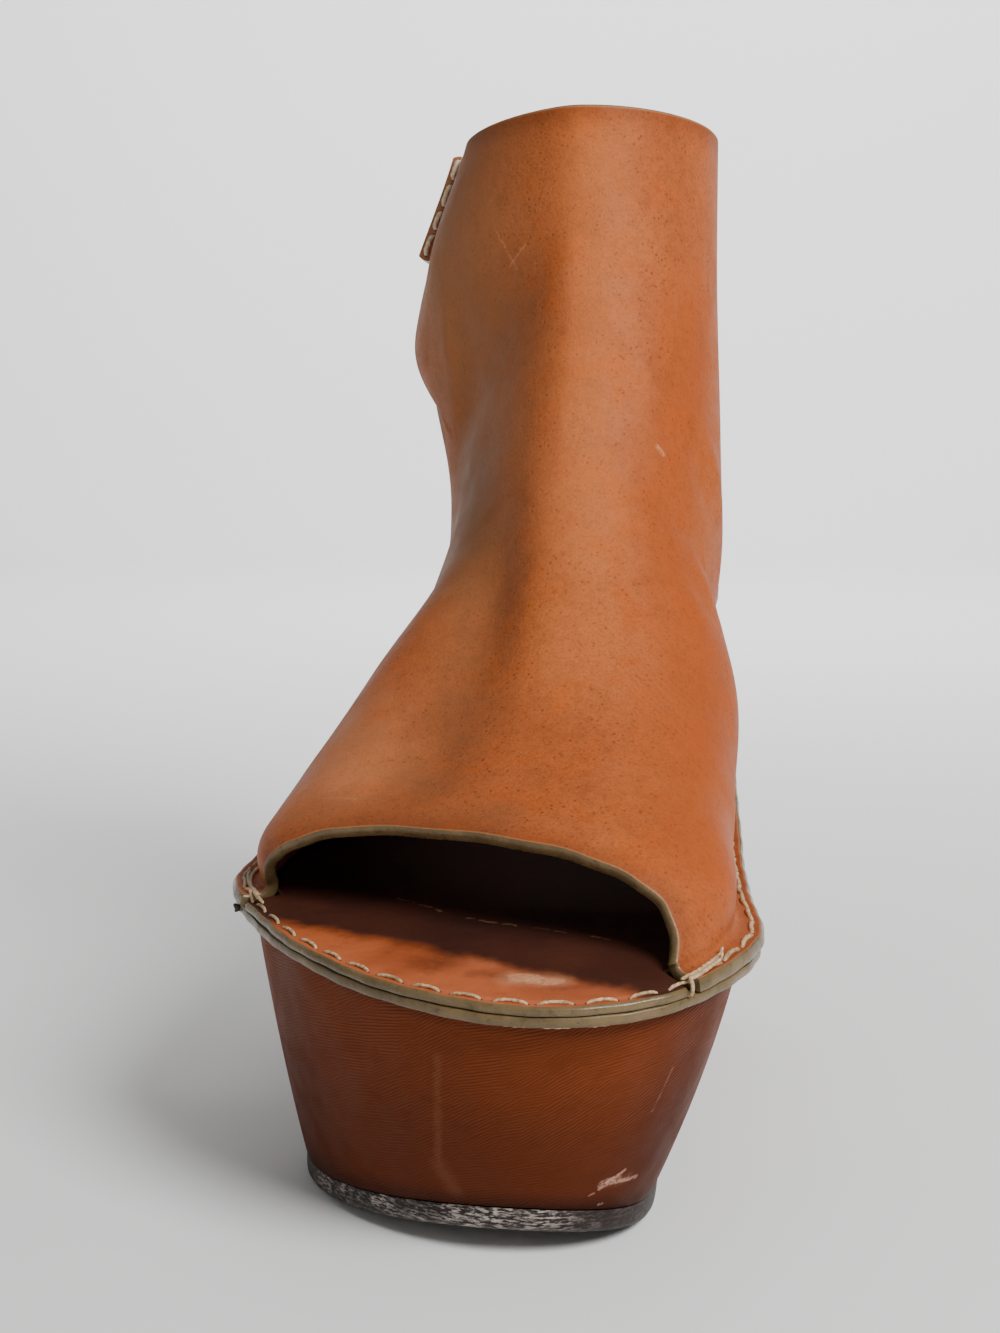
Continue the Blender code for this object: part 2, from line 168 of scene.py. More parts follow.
# Edge of the open heel: the share of the way from side line to back, and the lowest section that is leather
HEEL_EDGE = (
    (0, 4),
    (0.1, 5.2),
    (0.2, 5.75),
    (0.35, 5.95),
    (0.6, 5.9),
    (0.72, 5.95),
    (0.8, 6.2),
)
BACK_X = 5.0            # middle of the heel
REAR_EDGE = 0.80        # share of each flap that is leather; the rest is the gap at the back

# Back strap
STRAP_W = 24.5
STRAP_NECK_W = 20.0     # narrower behind the heel
STRAP_DROP = 1.0        # its upper edge below the collar
STRAP_END = {OUTER: 0.19, INNER: 0.50}  # share of each flap where its sewn end starts

# Mesh steps
OUTLINE_STEPS = 240     # from toe tip to heel tip, on each side
FOOT_STEPS, CUFF_STEPS = 88, 66
ACROSS_STEPS, FLAP_STEPS = 60, 48
BEND_STEPS, MARGIN_STEPS = 6, 5
WALL_STEPS, COVE_STEPS = 26, 6
STRAP_STEPS, STRAP_ACROSS = 110, 18
FLAP_TABLE_ROWS = 241   # rows in the cuff's table of control points
SMALL = 0.01            # step for slopes along rows and shares
SHARP_ANGLE = 55.0      # edges that turn by more are left sharp
QUARTER = math.radians(90)

# Raw edges. Each row of a swell is a share of the thickness and how far the edge swells there, from the outer
# face inward, or upward on the ledge.
EDGE_SWELL = ((0.07, 0.22), (0.25, 0.42), (0.50, 0.48), (0.75, 0.42), (0.93, 0.22))
DOUBLE_SWELL = ((0.04, 0.20), (0.14, 0.38), (0.30, 0.44), (0.43, 0.34), (0.50, -0.25),
                (0.57, 0.34), (0.70, 0.44), (0.86, 0.38), (0.96, 0.20))
LEDGE_SWELL = ((0, 0), (0.12, 0.15), (0.35, 0.26), (0.65, 0.28), (0.90, 0.20), (1, 0.08))
LEDGE_PHASE = 0.7       # sets the cover's waves apart from those of the pieces above it
LEDGE_TOP_INSET = 6.0
FOLD_ROUND = 1.0        # how far the strap's folded ends swell
RIPPLE = 0.30           # slow waves of the ledge's cut edge
RIPPLE_RUNS = (57.0, 29.0)
RIPPLE_FADE = 5.0       # inset where the waves end
SCALLOP = 0.09          # pull of each stitch on that edge
LIP_WAVE = 0.35         # waves of the toe opening's cut edge
LIP_RUNS = (31.0, 13.0)
LIP_HALF = 60.0         # length of that edge on each side
RIPPLE_PHASE, LIP_PHASE = 1.0, 2.0      # where the waves of these edges start

# The outsole's side: inset and share of its thickness, from the ground up
OUTSOLE_SIDE = ((1.3, 0), (0.5, 0.07), (0.1, 0.22), (0, 0.40), (0, 0.85), (0.25, 1))

# The insole's edge: inset and drop below its upper face, from its underside up and in over the seam
INSOLE_EDGE = ((-0.08, INSOLE_T), (-0.22, 1.6), (-0.32, 1.1), (-0.28, 0.65), (-0.06, 0.32),
               (0.35, 0.16), (0.9, 0.08), (1.5, 0.02), (2, 0), (2.4, 0), (2.8, 0), (3.4, 0), (4.5, 0),
               (7, 0), (12, 0))
INSOLE_RIM_ROWS = 5     # rows of that table that belong to the raw edge
STEP_RUN = 1.5          # length of a step in the insole's outline

# Seam round the ledge
STITCH_PITCH = 8.0
SEAM_INSET = 1.3        # stitches from the raw edge
SEAM_BOW = 0.50         # how far the middle of a stitch lies further in
SEAM_GROOVE = 0.30      # how deep they pull into the leather
SEAM_GROOVE_W = 0.7
THREAD_R = 0.34
FLANK_THREAD_R = 0.46   # beside the upper's wall
UNDER_THREAD_R = 0.50
TOP_GAP = 1.0           # between a stitch on the open insole and its hole
FLANK_GAP = 0.4         # beside the wall the thread is nearly unbroken
UNDER_GAP = 0.5
UNDER_INSET, UNDER_DROP = 3.2, 0.7
STITCH_UNEVEN = 0.35    # spread of the gaps
STITCH_ARCH, STITCH_SINK = 1.35, 0.75   # rise of a stitch's middle and dip of its ends, in radii
ARCH_POWER = 5          # keeps the middle of a stitch flat
STITCH_STEPS, THREAD_SIDES = 14, 12
THREAD_PLIES = 3
PLY_DEPTH = 0.10        # share of the radius
PLY_RUN = 5.0           # length of one turn of the twist
END_TAPER = 0.45        # share of the radius that a thread loses at its ends
TAPER_POWER = 8         # keeps that close to the ends
HOLE_R, HOLE_LENGTHEN = 0.4, 1.2
HOLE_SUNK, HOLE_RAISED = 0.15, 0.12     # its rim below the leather and its middle above it

# Thread wound over the ledge at the corners of the toe opening: side, start, its inset, end, its inset, and
# whether it goes under. Start and end are distances along the ledge behind the corner. A wrap that goes under
# is drawn in between the ledge's two layers.
WRAPS = (
    (INNER, 12.5, 3, -3, 1.3, False),
    (INNER, 10, 1.8, -1.5, 0.5, True),
    (OUTER, 25, 4, -8, 1.8, False),
    (OUTER, 16, 2.4, -3, 2.6, False),
)
WRAP_R = 0.42
WRAP_STEPS = 16
WRAP_LIFT = 0.7         # of its middle over the leather, in radii
WRAP_START_LIFT = 0.9
WRAP_LEAN = 1.3         # how much more it faces up than out
# Where it goes under: distance ahead of its end, inset and height
WRAP_UNDER = ((0.5, -0.6, MARGIN_TOP_Z - 0.5), (0.8, -0.7, SECOND_Z + 0.4), (1, 0.8, SECOND_Z))
KNOT_PLACE = (3.5, 0.0, 0.8)    # behind the outer corner, inset and height over the ledge's underside
KNOT_R = 0.9
KNOT_THREAD_R = 0.42
KNOT_STEPS = 48
KNOT_DEPTH = 1.5        # how much thicker it is than a plain trefoil
KNOT_UP = np.array([0.3, 0.2, 0.9])

# Stitches beside the strap's sewn ends
TAB_STITCHES = 4
TAB_AHEAD, TAB_LIFT = 1.1, 2.5  # in front of the strap's end and over the cuff
TAB_GAP = 0.7
TAB_THREAD_R = 0.6

# Soft folds of the upper: a line from one place to another, how wide it is and how far it stands out
FOLDS = (
    ((-9.5, 112, 136), (-7, 80, 109), 13, -4.6),
    ((-7, 97, 126), (-9.5, 60, 92), 12, -3.6),
    ((-9, 66, 96), (-15, 46, 82.5), 11, -1.5),
    ((7.5, 96, 132), (5.5, 64, 97.5), 7, 0.8),
    ((37.9, 127.5, 152.5), (42.1, 135.6, 136.3), 4, 1),
    ((34.5, 123, 150), (39, 129, 133), 5, -0.9),
    ((37, 112.2, 124.9), (42.6, 110.1, 112.4), 4, 1),
    ((33, 108, 122.5), (39, 104, 109), 5, -0.9),
    ((-24.4, 147.3, 183), (-23.2, 151.6, 153.6), 3.5, 1),
    ((-20.5, 143, 182), (-19.5, 146, 154), 6, -1),
    ((8, 97.1, 134.2), (26.5, 102.3, 132.5), 2, -0.35),
    ((10.4, 93.8, 129), (24.7, 96.6, 127.7), 2, -0.35),
    ((10.8, 114.9, 171.4), (23, 117.7, 170.4), 2, -0.28),
    ((10.8, 113.5, 167), (21.8, 115.7, 166), 2, -0.28),
)
FOLD_END = 0.1          # share of a fold's wave that lies beyond each end

# Photo's viewpoint, and the point that the camera looks at
CAMERA_PLACE = (59.5, -338.2, 159.7)
CAMERA_AIM = (-4.0, 100.0, 101.0)
LENS = 55.0             # millimetres, for the sensor's default width along the image's long side

# Soft lights: name, place, the place they point at, size across and strength in watts
SHOE = (0.0, 0.0, 110.0)
LIGHTS = (
    ("key", (540, -540, 700), SHOE, 420, 12.6),
    ("fill", (-600, -800, 350), SHOE, 700, 0.3),
    ("top", (250, -250, 1000), SHOE, 700, 0.6),
    ("backdrop", (0, 800, 1300), (0, 2100, 300), 900, 42),
)
AMBIENT = (0.21, 0.215, 0.215, 1.0)

# Studio: a round floor that curves up to a low wall
FLOOR_R = 1500.0
FLOOR_BEND_R = 700.0
FLOOR_SIDES, FLOOR_BEND_STEPS = 96, 16


def monotone_curve(knots, values):
    """A smooth curve through the values that never overshoots them."""
    x, y = np.asarray(knots, float), np.asarray(values, float)
    width = np.diff(x)
    rise = np.diff(y) / width
    slope = np.concatenate(([rise[0]], (rise[:-1] + rise[1:]) / 2, [rise[-1]]))
    for i in range(1, len(x) - 1):
        limit = 2 * min(abs(rise[i - 1]), abs(rise[i]))
        if rise[i - 1] * rise[i] <= 0:
            slope[i] = 0.0
        else:
            slope[i] = math.copysign(min(abs(slope[i]), limit), rise[i])

    def at(t):
        i = int(np.clip(np.searchsorted(x, t) - 1, 0, len(x) - 2))
        w = width[i]
        a = (t - x[i]) / w
        return ((1 + 2 * a) * (1 - a) ** 2 * y[i] + a * (1 - a) ** 2 * w * slope[i]
                + a * a * (3 - 2 * a) * y[i + 1] + a * a * (a - 1) * w * slope[i + 1])

    return at


def curves(rows, first=None):
    """A curve for each column of a table, along its first column or along row numbers from a given first."""
    columns = list(zip(*rows))
    knots = columns.pop(0) if first is None else range(first, first + len(rows))
    return [monotone_curve(knots, values) for values in columns]


def bezier(a, b, c, d, t):
    """Point on a cubic curve."""
    s = 1 - t
    return s ** 3 * a + 3 * s * s * t * b + 3 * s * t * t * c + t ** 3 * d


def unit(v):
    return v / np.linalg.norm(v)


def clamp(value, low=0.0, high=1.0):
    return min(max(value, low), high)


def quarter_round(share):
    """Width of a rounded end, from 0 at its tip to 1 where it runs straight."""
    return math.sqrt(1 - (1 - clamp(share)) ** 2)


def lengths_along(points):
    """Length of a path up to each of its points."""
    steps = np.linalg.norm(np.diff(points, axis=0), axis=1)
    return np.concatenate(([0.0], np.cumsum(steps)))


def waves(length, runs, phase):
    """Slow uneven waves between about -1 and 1 along a length."""
    terms = [math.sin(math.tau * length / run + phase * (i + 1)) for i, run in enumerate(runs)]
    return sum(terms) / len(terms)


class Outline:
    """A closed plan outline, found by its share of the way from toe tip to heel tip."""

    def __init__(self, rows, toe_run, heel_run):
        self.toe, self.heel = rows[0][0], rows[-1][0]
        self.toe_run, self.heel_run = toe_run, heel_run
        self.centre, self.half = curves(rows)

    def share(self, station):
        return math.acos(1 - 2 * (station - self.toe) / (self.heel - self.toe)) / math.pi

    @lru_cache(maxsize=None)
    def edge(self, share, side):
        station = self.toe + (self.heel - self.toe) * (1 - math.cos(math.pi * share)) / 2
        toe_round = quarter_round((station - self.toe) / self.toe_run)
        heel_round = quarter_round((self.heel - station) / self.heel_run)
        half = self.half(station) * toe_round * heel_round
        return np.array([self.centre(station) + side * half, station])

    @lru_cache(maxsize=None)
    def outward(self, share, side):
        """Unit normal of the outline, pointing away from the shoe."""
        step = 0.002
        if share < step or share > 1 - step:
            return np.array([0.0, -1.0 if share < step else 1.0])
        along = self.edge(share + step, side) - self.edge(share - step, side)
        return unit(np.array([side * along[1], -side * along[0]]))

    def point(self, share, side, inset=0.0):
        return self.edge(share, side) - inset * self.outward(share, side)


ledge = Outline(LEDGE, LEDGE_TOE_RUN, LEDGE_HEEL_RUN)
base = Outline(BASE, BASE_TOE_RUN, BASE_HEEL_RUN)
ledge_height, = curves(PROFILE)


class Seam:
    """The seam line round one side of the ledge, measured from the toe tip."""

    def __init__(self, side):
        self.shares = np.linspace(0.0, 1.0, 4 * OUTLINE_STEPS + 1)
        points = np.array([ledge.point(share, side, SEAM_INSET) for share in self.shares])
        self.lengths = lengths_along(points)
        self.count = round(self.lengths[-1] / STITCH_PITCH)
        self.pitch = self.lengths[-1] / self.count

    def length(self, share):
        return float(np.interp(share, self.shares, self.lengths))

    def share(self, length):
        return float(np.interp(length, self.lengths, self.shares))


seams = {side: Seam(side) for side in SIDES}


def cut_edge(share, side, inset=0.0, phase=0.0):
    """Plan point at an inset from the ledge's uneven cut edge."""
    fade = clamp(1 - inset / RIPPLE_FADE)
    length = seams[side].length(share)
    wave = RIPPLE * waves(side * length, RIPPLE_RUNS, RIPPLE_PHASE + phase)
    pull = SCALLOP * math.cos(math.tau * length / seams[side].pitch)
    return ledge.point(share, side, inset - fade * (wave + pull))


def layer(station, height):
    """Height of a layer over the footbed, measured square to its slope from the ledge's underside."""
    step = 0.5
    low, high = max(0.0, station - step), min(LENGTH, station + step)
    slope = (ledge_height(high) - ledge_height(low)) / (high - low)
    return ledge_height(station) + height * math.hypot(1.0, slope)


def floor_height(station):
    """Underside of the outsole: flat, rising at the toe."""
    return TOE_SPRING * max(0.0, (SPRING_END - station) / (SPRING_END - base.toe)) ** 2


section = curves(SECTIONS, 0)
ridge_line = section[:3]
half_shape = {INNER: section[3:6], OUTER: section[6:]}
foot_u, foot_skew = curves(FEET, 0)


def foot_share(row, side, beyond=0.0):
    """Place on the ledge's outline where a section of the upper stands, or a little beyond it."""
    return ledge.share(foot_u(row) - side * foot_skew(row) + beyond)


def foot_point(row, side):
    """Outer face of the upper's wall, just above the bend on to the ledge."""
    x, u = ledge.point(foot_share(row, side), side, LEDGE_W)
    return np.array([x, u, layer(u, MARGIN_TOP_Z + BEND_R)])


def side_line(side):
    """Curves for X, U and Z of one side line, from the corner on the ledge to the collar."""
    rows = [foot_point(CORNER, side)]
    for inner_x, outer_x, u, z in CUFF_SIDES:
        rows.append((inner_x if side == INNER else outer_x, u, z))
    return curves(rows, CORNER)


side_lines = {side: side_line(side) for side in SIDES}
turn_at, reach_at, inner_round, outer_round, back_u, back_z = curves(BACKS, CORNER)
edge_section, = curves(HEEL_EDGE)


def side_point(row, side):
    """Where a section ends: on the ledge up to the corner, on the cuff's side above it."""
    if row <= CORNER:
        return foot_point(row, side)
    return np.array([line(row) for line in side_lines[side]])


@lru_cache(maxsize=None)
def section_curve(row, side):
    """Control points of one half of a section, from the ridge to its side."""
    ridge = np.array([line(row) for line in ridge_line])
    end = side_point(row, side)
    skew = foot_skew(row) if row < CORNER else 0.0
    shoulder, lift, belly = (curve(row) for curve in half_shape[side])
    over = ridge + np.array([shoulder * (end[0] - ridge[0]), -side * skew * shoulder, 0.0])
    wall = end + np.array([side * belly, lift * (ridge[1] - end[1]), lift * (ridge[2] - end[2])])
    return ridge, over, wall, end


def vamp_point(row, across):
    """Outer face of the upper's front; across runs from -1 at the outer side to 1 at the inner side."""
    return bezier(*section_curve(row, INNER if across >= 0 else OUTER), abs(across))


def flap_curve(row, side):
    """Control points of the cuff from its side line round to the middle of the back."""
    _, _, wall, start = section_curve(row, side)
    onward = unit(start - wall)
    above, below = min(row + SMALL, LAST), max(row - SMALL, CORNER)
    upward = unit(side_point(above, side) - side_point(below, side))
    turn = math.radians(turn_at(row))
    aim = np.array([math.cos(turn), math.sin(turn)])
    mix = np.linalg.solve(np.column_stack((onward[1:], upward[1:])), aim)
    heading = onward * mix[0] + upward * mix[1]
    back = np.array([BACK_X, back_u(row), back_z(row)])
    reach = reach_at(row) * np.linalg.norm(back - start)
    width = inner_round(row) if side == INNER else outer_round(row)
    return start, start + reach * heading, back + np.array([side * width, 0.0, 0.0]), back


flap_rows = np.linspace(CORNER, LAST, FLAP_TABLE_ROWS)
flap_table = {side: np.array([flap_curve(row, side) for row in flap_rows]) for side in SIDES}


def flap_point(row, side, share):
    """Outer face of the cuff; share runs from its side line to the middle of the back."""
    place = (row - CORNER) / (LAST - CORNER) * (FLAP_TABLE_ROWS - 1)
    low = clamp(int(place), 0, FLAP_TABLE_ROWS - 2)
    table = flap_table[side]
    return bezier(*(table[low] + (place - low) * (table[low + 1] - table[low])), share)


def flap_normal(row, side, share):
    """Outward normal of the cuff."""
    row = clamp(row, CORNER + SMALL, LAST - SMALL)
    share = clamp(share, SMALL, 1 - SMALL)
    along = flap_point(row, side, share + SMALL) - flap_point(row, side, share - SMALL)
    up = flap_point(row + SMALL, side, share) - flap_point(row - SMALL, side, share)
    return unit(np.cross(along, up)) * side


@lru_cache(maxsize=None)
def flap_heights(side, share):
    return [flap_point(row, side, share)[2] for row in flap_rows]


def flap_row_at(side, share, depth):
    """The row that lies a given depth below the collar."""
    heights = flap_heights(side, share)
    return float(np.interp(heights[-1] - depth, heights, flap_rows))


def seam_groove(inset):
    """How deep the stitches have drawn the leather in, across the seam."""
    return SEAM_GROOVE * math.exp(-((inset - SEAM_INSET) / SEAM_GROOVE_W) ** 2)


def ledge_place(side, share, inset, height):
    """A point at an inset from the ledge's edge and a height over its underside."""
    x, u = cut_edge(share, side, inset)
    return np.array([x, u, layer(u, height)])


def margin_point(row, side, part):
    """Upper face of the turned-out margin, from the wall round the bend and out to the raw edge."""
    if part <= BEND_STEPS:
        angle = QUARTER * part / BEND_STEPS
        inset = LEDGE_W - BEND_R * (1 - math.cos(angle))
        height = MARGIN_TOP_Z + BEND_R * (1 - math.sin(angle))
    else:
        inset = (LEDGE_W - BEND_R) * (1 - (part - BEND_STEPS) / MARGIN_STEPS)
        height = MARGIN_TOP_Z
    return ledge_place(side, foot_share(row, side), inset, height - seam_groove(inset))


ledge_shares = np.linspace(0.0, 1.0, OUTLINE_STEPS + 1)
ledge_x = [ledge.edge(share, side)[0] for share in ledge_shares for side in SIDES]
ORIGIN = np.array([(min(ledge_x) + max(ledge_x)) / 2, LENGTH / 2, 0.0])


def world(points):
    """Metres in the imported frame."""
    return (np.asarray(points, float) - ORIGIN) * MM


class Sheet:
    """A surface made of grids of points that share their borders."""

    def __init__(self):
        self.points, self.faces, self.index = [], [], {}

    def put(self, key, point):
        self.index[key] = len(self.points)
        self.points.append(point)

    def fill(self, keys):
        """Quads over a grid of keys, a list for each row."""
        for low, high in zip(keys, keys[1:]):
            for i in range(len(low) - 1):
                corners = low[i], low[i + 1], high[i + 1], high[i]
                self.faces.append(tuple(self.index[key] for key in corners))


def sheet_normals(points, faces):
    quads = points[np.array(faces)]
    across = np.cross(quads[:, 2] - quads[:, 0], quads[:, 3] - quads[:, 1])
    normals = np.zeros_like(points)
    for corner in range(4):
        np.add.at(normals, np.array(faces)[:, corner], across)
    return normals / np.linalg.norm(normals, axis=1)[:, None]


def open_edges(faces):
    """Directed edges that only one face has."""
    edges = {(face[i], face[(i + 1) % 4]) for face in faces for i in range(4)}
    return sorted((a, b) for a, b in edges if (b, a) not in edges)


def shell(points, faces, thickness, swell, folded):
    """Close a sheet with an inner face and a swelling raw edge. Face numbers: 0 outer, 1 inner, 2 raw edge.

    Border points in folded lie at a fold, where the outer face goes on round the edge.
    """
    normals = sheet_normals(points, faces)
    count = len(points)
    border = open_edges(faces)
    outward = {}
    for a, b in border:
        away = unit(np.cross(points[b] - points[a], normals[a] + normals[b]))
        for i in (a, b):
            outward[i] = outward.get(i, 0.0) + away
    rows = [points, points - thickness * normals]
    levels = [{i: i for i in outward}]
    for depth, out in swell:
        start = sum(len(row) for row in rows)
        bend = FOLD_ROUND * math.sin(math.pi * depth)
        rows.append(np.array([points[i] - depth * thickness * normals[i]
                              + (bend if i in folded else out) * unit(outward[i]) for i in outward]))
        levels.append({i: start + k for k, i in enumerate(outward)})
    levels.append({i: i + count for i in outward})
    inner = [tuple(i + count for i in reversed(face)) for face in faces]
    rim = [(low[b], low[a], high[a], high[b]) for low, high in zip(levels, levels[1:]) for a, b in border]
    edge_numbers = [0 if a in folded and b in folded else 2 for a, b in border] * (len(levels) - 1)
    numbers = [0] * len(faces) + [1] * len(inner) + edge_numbers
    return np.vstack(rows), list(faces) + inner + rim, numbers


def distance_to_border(points, faces, total):
    """Distance of each outer point from the nearest raw edge, and 0 for all later points."""
    border = sorted({i for edge in open_edges(faces) for i in edge})
    tree = KDTree(len(border))
    for i in border:
        tree.insert(points[i], i)
    tree.balance()
    near = [tree.find(point)[2] for point in points]
    return near + [0.0] * (total - len(near))


def fold_heights(points):
    """How far the soft folds move each point outward."""
    heights = np.zeros(len(points))
    for start, end, width, height in FOLDS:
        run = np.subtract(end, start)
        along = np.clip((points - start) @ run / (run @ run), 0.0, 1.0)
        away = np.linalg.norm(points - start - along[:, None] * run, axis=1)
        wave = np.sin(math.pi * (FOLD_END + (1 - 2 * FOLD_END) * along))
        heights += height * np.exp(-(away / width) ** 2) * wave
    return heights


def upper_sheet():
    """Outer face of the upper: the front, the turned-out margins and the cuff's flaps. It has no fold."""
    sheet = Sheet()
    rows = [CORNER * i / FOOT_STEPS for i in range(FOOT_STEPS)]
    rows += [CORNER + (LAST - CORNER) * i / CUFF_STEPS for i in range(CUFF_STEPS + 1)]
    across = range(-ACROSS_STEPS, ACROSS_STEPS + 1)
    for i, row in enumerate(rows):
        for j in across:
            sheet.put(("vamp", i, j), vamp_point(row, j / ACROSS_STEPS))
    sheet.fill([[("vamp", i, j) for j in across] for i in range(len(rows))])
    feet, cuffs = range(FOOT_STEPS + 1), range(FOOT_STEPS, len(rows))
    parts, steps = range(1, BEND_STEPS + MARGIN_STEPS + 1), range(1, FLAP_STEPS + 1)
    for side in SIDES:
        for i in feet:
            for part in parts:
                sheet.put((side, "margin", i, part), margin_point(rows[i], side, part))
        for i in cuffs:
            for k in steps:
                share = REAR_EDGE * k / FLAP_STEPS
                low = edge_section(share)
                row = low + (LAST - low) * (rows[i] - CORNER) / (LAST - CORNER)
                sheet.put((side, "flap", i, k), flap_point(row, side, share))
        for name, ups, outs in (("margin", feet, parts), ("flap", cuffs, steps)):
            block = [[("vamp", i, side * ACROSS_STEPS)] + [(side, name, i, k) for k in outs] for i in ups]
            sheet.fill(block if side == INNER else [row[::-1] for row in block])
    for j in across:
        wave = LIP_WAVE * waves(j / ACROSS_STEPS * LIP_HALF, LIP_RUNS, LIP_PHASE)
        key = sheet.index["vamp", 0, j]
        behind = sheet.points[sheet.index["vamp", 1, j]]
        sheet.points[key] = sheet.points[key] + wave * unit(sheet.points[key] - behind)
    points = np.array(sheet.points)
    points += fold_heights(points)[:, None] * sheet_normals(points, sheet.faces)
    return points, sheet.faces, ()


def strap_sheet():
    """Outer face of the back strap, on the cuff and across the gap behind the heel, and its folded ends."""
    outer_run, inner_run = 1 - STRAP_END[OUTER], 1 - STRAP_END[INNER]
    sheet = Sheet()
    for i in range(STRAP_STEPS + 1):
        way = i / STRAP_STEPS * (outer_run + inner_run) - outer_run
        side = OUTER if way < 0 else INNER
        share = 1 - abs(way)
        neck = max(0.0, 1 - (way / min(outer_run, inner_run)) ** 2)
        width = STRAP_W - (STRAP_W - STRAP_NECK_W) * neck
        for j in range(STRAP_ACROSS + 1):
            row = flap_row_at(side, share, STRAP_DROP + width * j / STRAP_ACROSS)
            outward = flap_normal(row, side, share)
            sheet.put((i, j), flap_point(row, side, share) + (GAP + STRAP_T) * outward)
    sheet.fill([[(i, j) for i in range(STRAP_STEPS + 1)] for j in range(STRAP_ACROSS + 1)])
    ends = {sheet.index[i, j] for i in (0, STRAP_STEPS) for j in range(STRAP_ACROSS + 1)}
    return np.array(sheet.points), sheet.faces, ends


def ring(place, *values):
    """Points from a function of share, side and values: toe tip, outer side, heel tip, inner side."""
    outer = [place(share, OUTER, *values) for share in ledge_shares]
    inner = [place(share, INNER, *values) for share in ledge_shares[1:-1]]
    return np.array(outer + inner[::-1])


def stack(rings, numbers):
    """Close a stack of rings, lowest first. Numbers give the face number of each band, top last."""
    count = len(rings[0])
    faces, kinds = [], []
    for level in range(len(rings) - 1):
        low, high = level * count, (level + 1) * count
        for i in range(count):
            j = (i + 1) % count
            faces.append((low + i, high + i, high + j, low + j))
            kinds.append(numbers[level])
    top = (len(rings) - 1) * count
    for i in range(count // 2):
        ladder = list(dict.fromkeys((i, i + 1, count - i - 1, (count - i) % count)))
        faces.append(tuple(ladder))
        kinds.append(numbers[0])
        faces.append(tuple(top + k for k in reversed(ladder)))
        kinds.append(numbers[-1])
    return np.vstack(rings), faces, kinds


def outsole_point(share, side, inset, level):
    x, u = base.point(share, side, inset)
    return x, u, floor_height(u) + level * OUTSOLE_T


def outsole_mesh():
    rings = [ring(outsole_point, *row) for row in OUTSOLE_SIDE]
    return stack(rings, [0] * len(rings))


def wall_point(share, side, rise):
    """The wedge's wall: rise runs from 0 at the outsole to 1 under the cove."""
    swell = 4 * rise * (1 - rise) * WALL_SWELL
    low = base.point(share, side, -swell)
    high = ledge.point(share, side, OVERHANG - swell)
    low_z = floor_height(base.edge(share, side)[1]) + OUTSOLE_T + GAP
    high_z = ledge_height(ledge.point(share, side, OVERHANG)[1]) - COVE_R
    return np.array([*(low + rise * (high - low)), low_z + rise * (high_z - low_z)])


def cove_point(share, side, angle):
    x, u = cut_edge(share, side, OVERHANG - COVE_R * (1 - math.cos(angle)), LEDGE_PHASE)
    return x, u, ledge_height(u) - COVE_R * (1 - math.sin(angle))


def cover_edge_point(share, side, depth, swell):
    x, u = cut_edge(share, side, -swell, LEDGE_PHASE)
    return x, u, layer(u, depth * COVER_T)


def cover_top_point(share, side):
    x, u = ledge.point(share, side, LEDGE_TOP_INSET)
    return x, u, layer(u, COVER_T)


def wedge_mesh():
    """The covered wedge, and the rise of each point. Face numbers: 0 cover, 1 raw edge."""
    rises = [i / WALL_STEPS for i in range(WALL_STEPS + 1)]
    cover = [ring(wall_point, rise) for rise in rises]
    cover += [ring(cove_point, QUARTER * i / COVE_STEPS) for i in range(1, COVE_STEPS + 1)]
    edges = [ring(cover_edge_point, *row) for row in LEDGE_SWELL]
    rings = cover + edges + [ring(cover_top_point)]
    numbers = [0] * len(cover) + [1] * len(edges) + [0]
    rises += [1.0] * (len(rings) - len(rises))
    return *stack(rings, numbers), np.repeat(rises, len(rings[0]))


@lru_cache(maxsize=None)
def insole_steps(side):
    """Shares of the outline between which the insole steps in behind the wall and out again."""
    clear = 2 * GAP
    return (foot_share(0, side, -clear - STEP_RUN), foot_share(0, side, -clear),
            foot_share(CORNER, side, clear), foot_share(CORNER, side, clear + STEP_RUN))


def insole_point(share, side, inset, drop):
    behind_wall = float(np.interp(share, insole_steps(side), (0, 1, 1, 0)))
    height = INSOLE_TOP_Z - drop - (1 - behind_wall) * seam_groove(inset)
    return ledge_place(side, share, INSOLE_INSET * behind_wall + inset, height)


def insole_mesh():
    """The insole, stepped inside the upper's wall between the openings. Face numbers: 0 top, 1 raw edge."""
    rings = [ring(insole_point, *row) for row in INSOLE_EDGE]
    return stack(rings, [1] * INSOLE_RIM_ROWS + [0] * (len(rings) - INSOLE_RIM_ROWS))


def angles(count):
    """Angles of the corners of a regular polygon."""
    return [math.tau * k / count for k in range(count)]


def band(low, high, count):
    """Quads between two rings of points that are numbered from low and from high."""
    return [(low + k, low + (k + 1) % count, high + (k + 1) % count, high + k) for k in range(count)]


def tube(path, ups, radius, taper=END_TAPER):
    """A twisted thread along a path, with rounded ends."""
    path = np.asarray(path, float)
    count = len(path)
    tangents = np.gradient(path, axis=0)
    lengths = lengths_along(path)
    points, faces = [], []
    for i in range(count):
        tangent = unit(tangents[i])
        right = unit(np.cross(tangent, ups[i]))
        up = np.cross(right, tangent)
        size = radius * (1 - taper * abs(2 * i / (count - 1) - 1) ** TAPER_POWER)
        twist = math.tau * lengths[i] / PLY_RUN
        for angle in angles(THREAD_SIDES):
            ply = 1 + PLY_DEPTH * math.cos(THREAD_PLIES * (angle - twist))
            points.append(path[i] + size * ply * (math.cos(angle) * right + math.sin(angle) * up))
    for i in range(count - 1):
        faces += band(i * THREAD_SIDES, (i + 1) * THREAD_SIDES, THREAD_SIDES)
    faces.append(tuple(reversed(range(THREAD_SIDES))))
    faces.append(tuple(range((count - 1) * THREAD_SIDES, count * THREAD_SIDES)))
    return np.array(points), faces


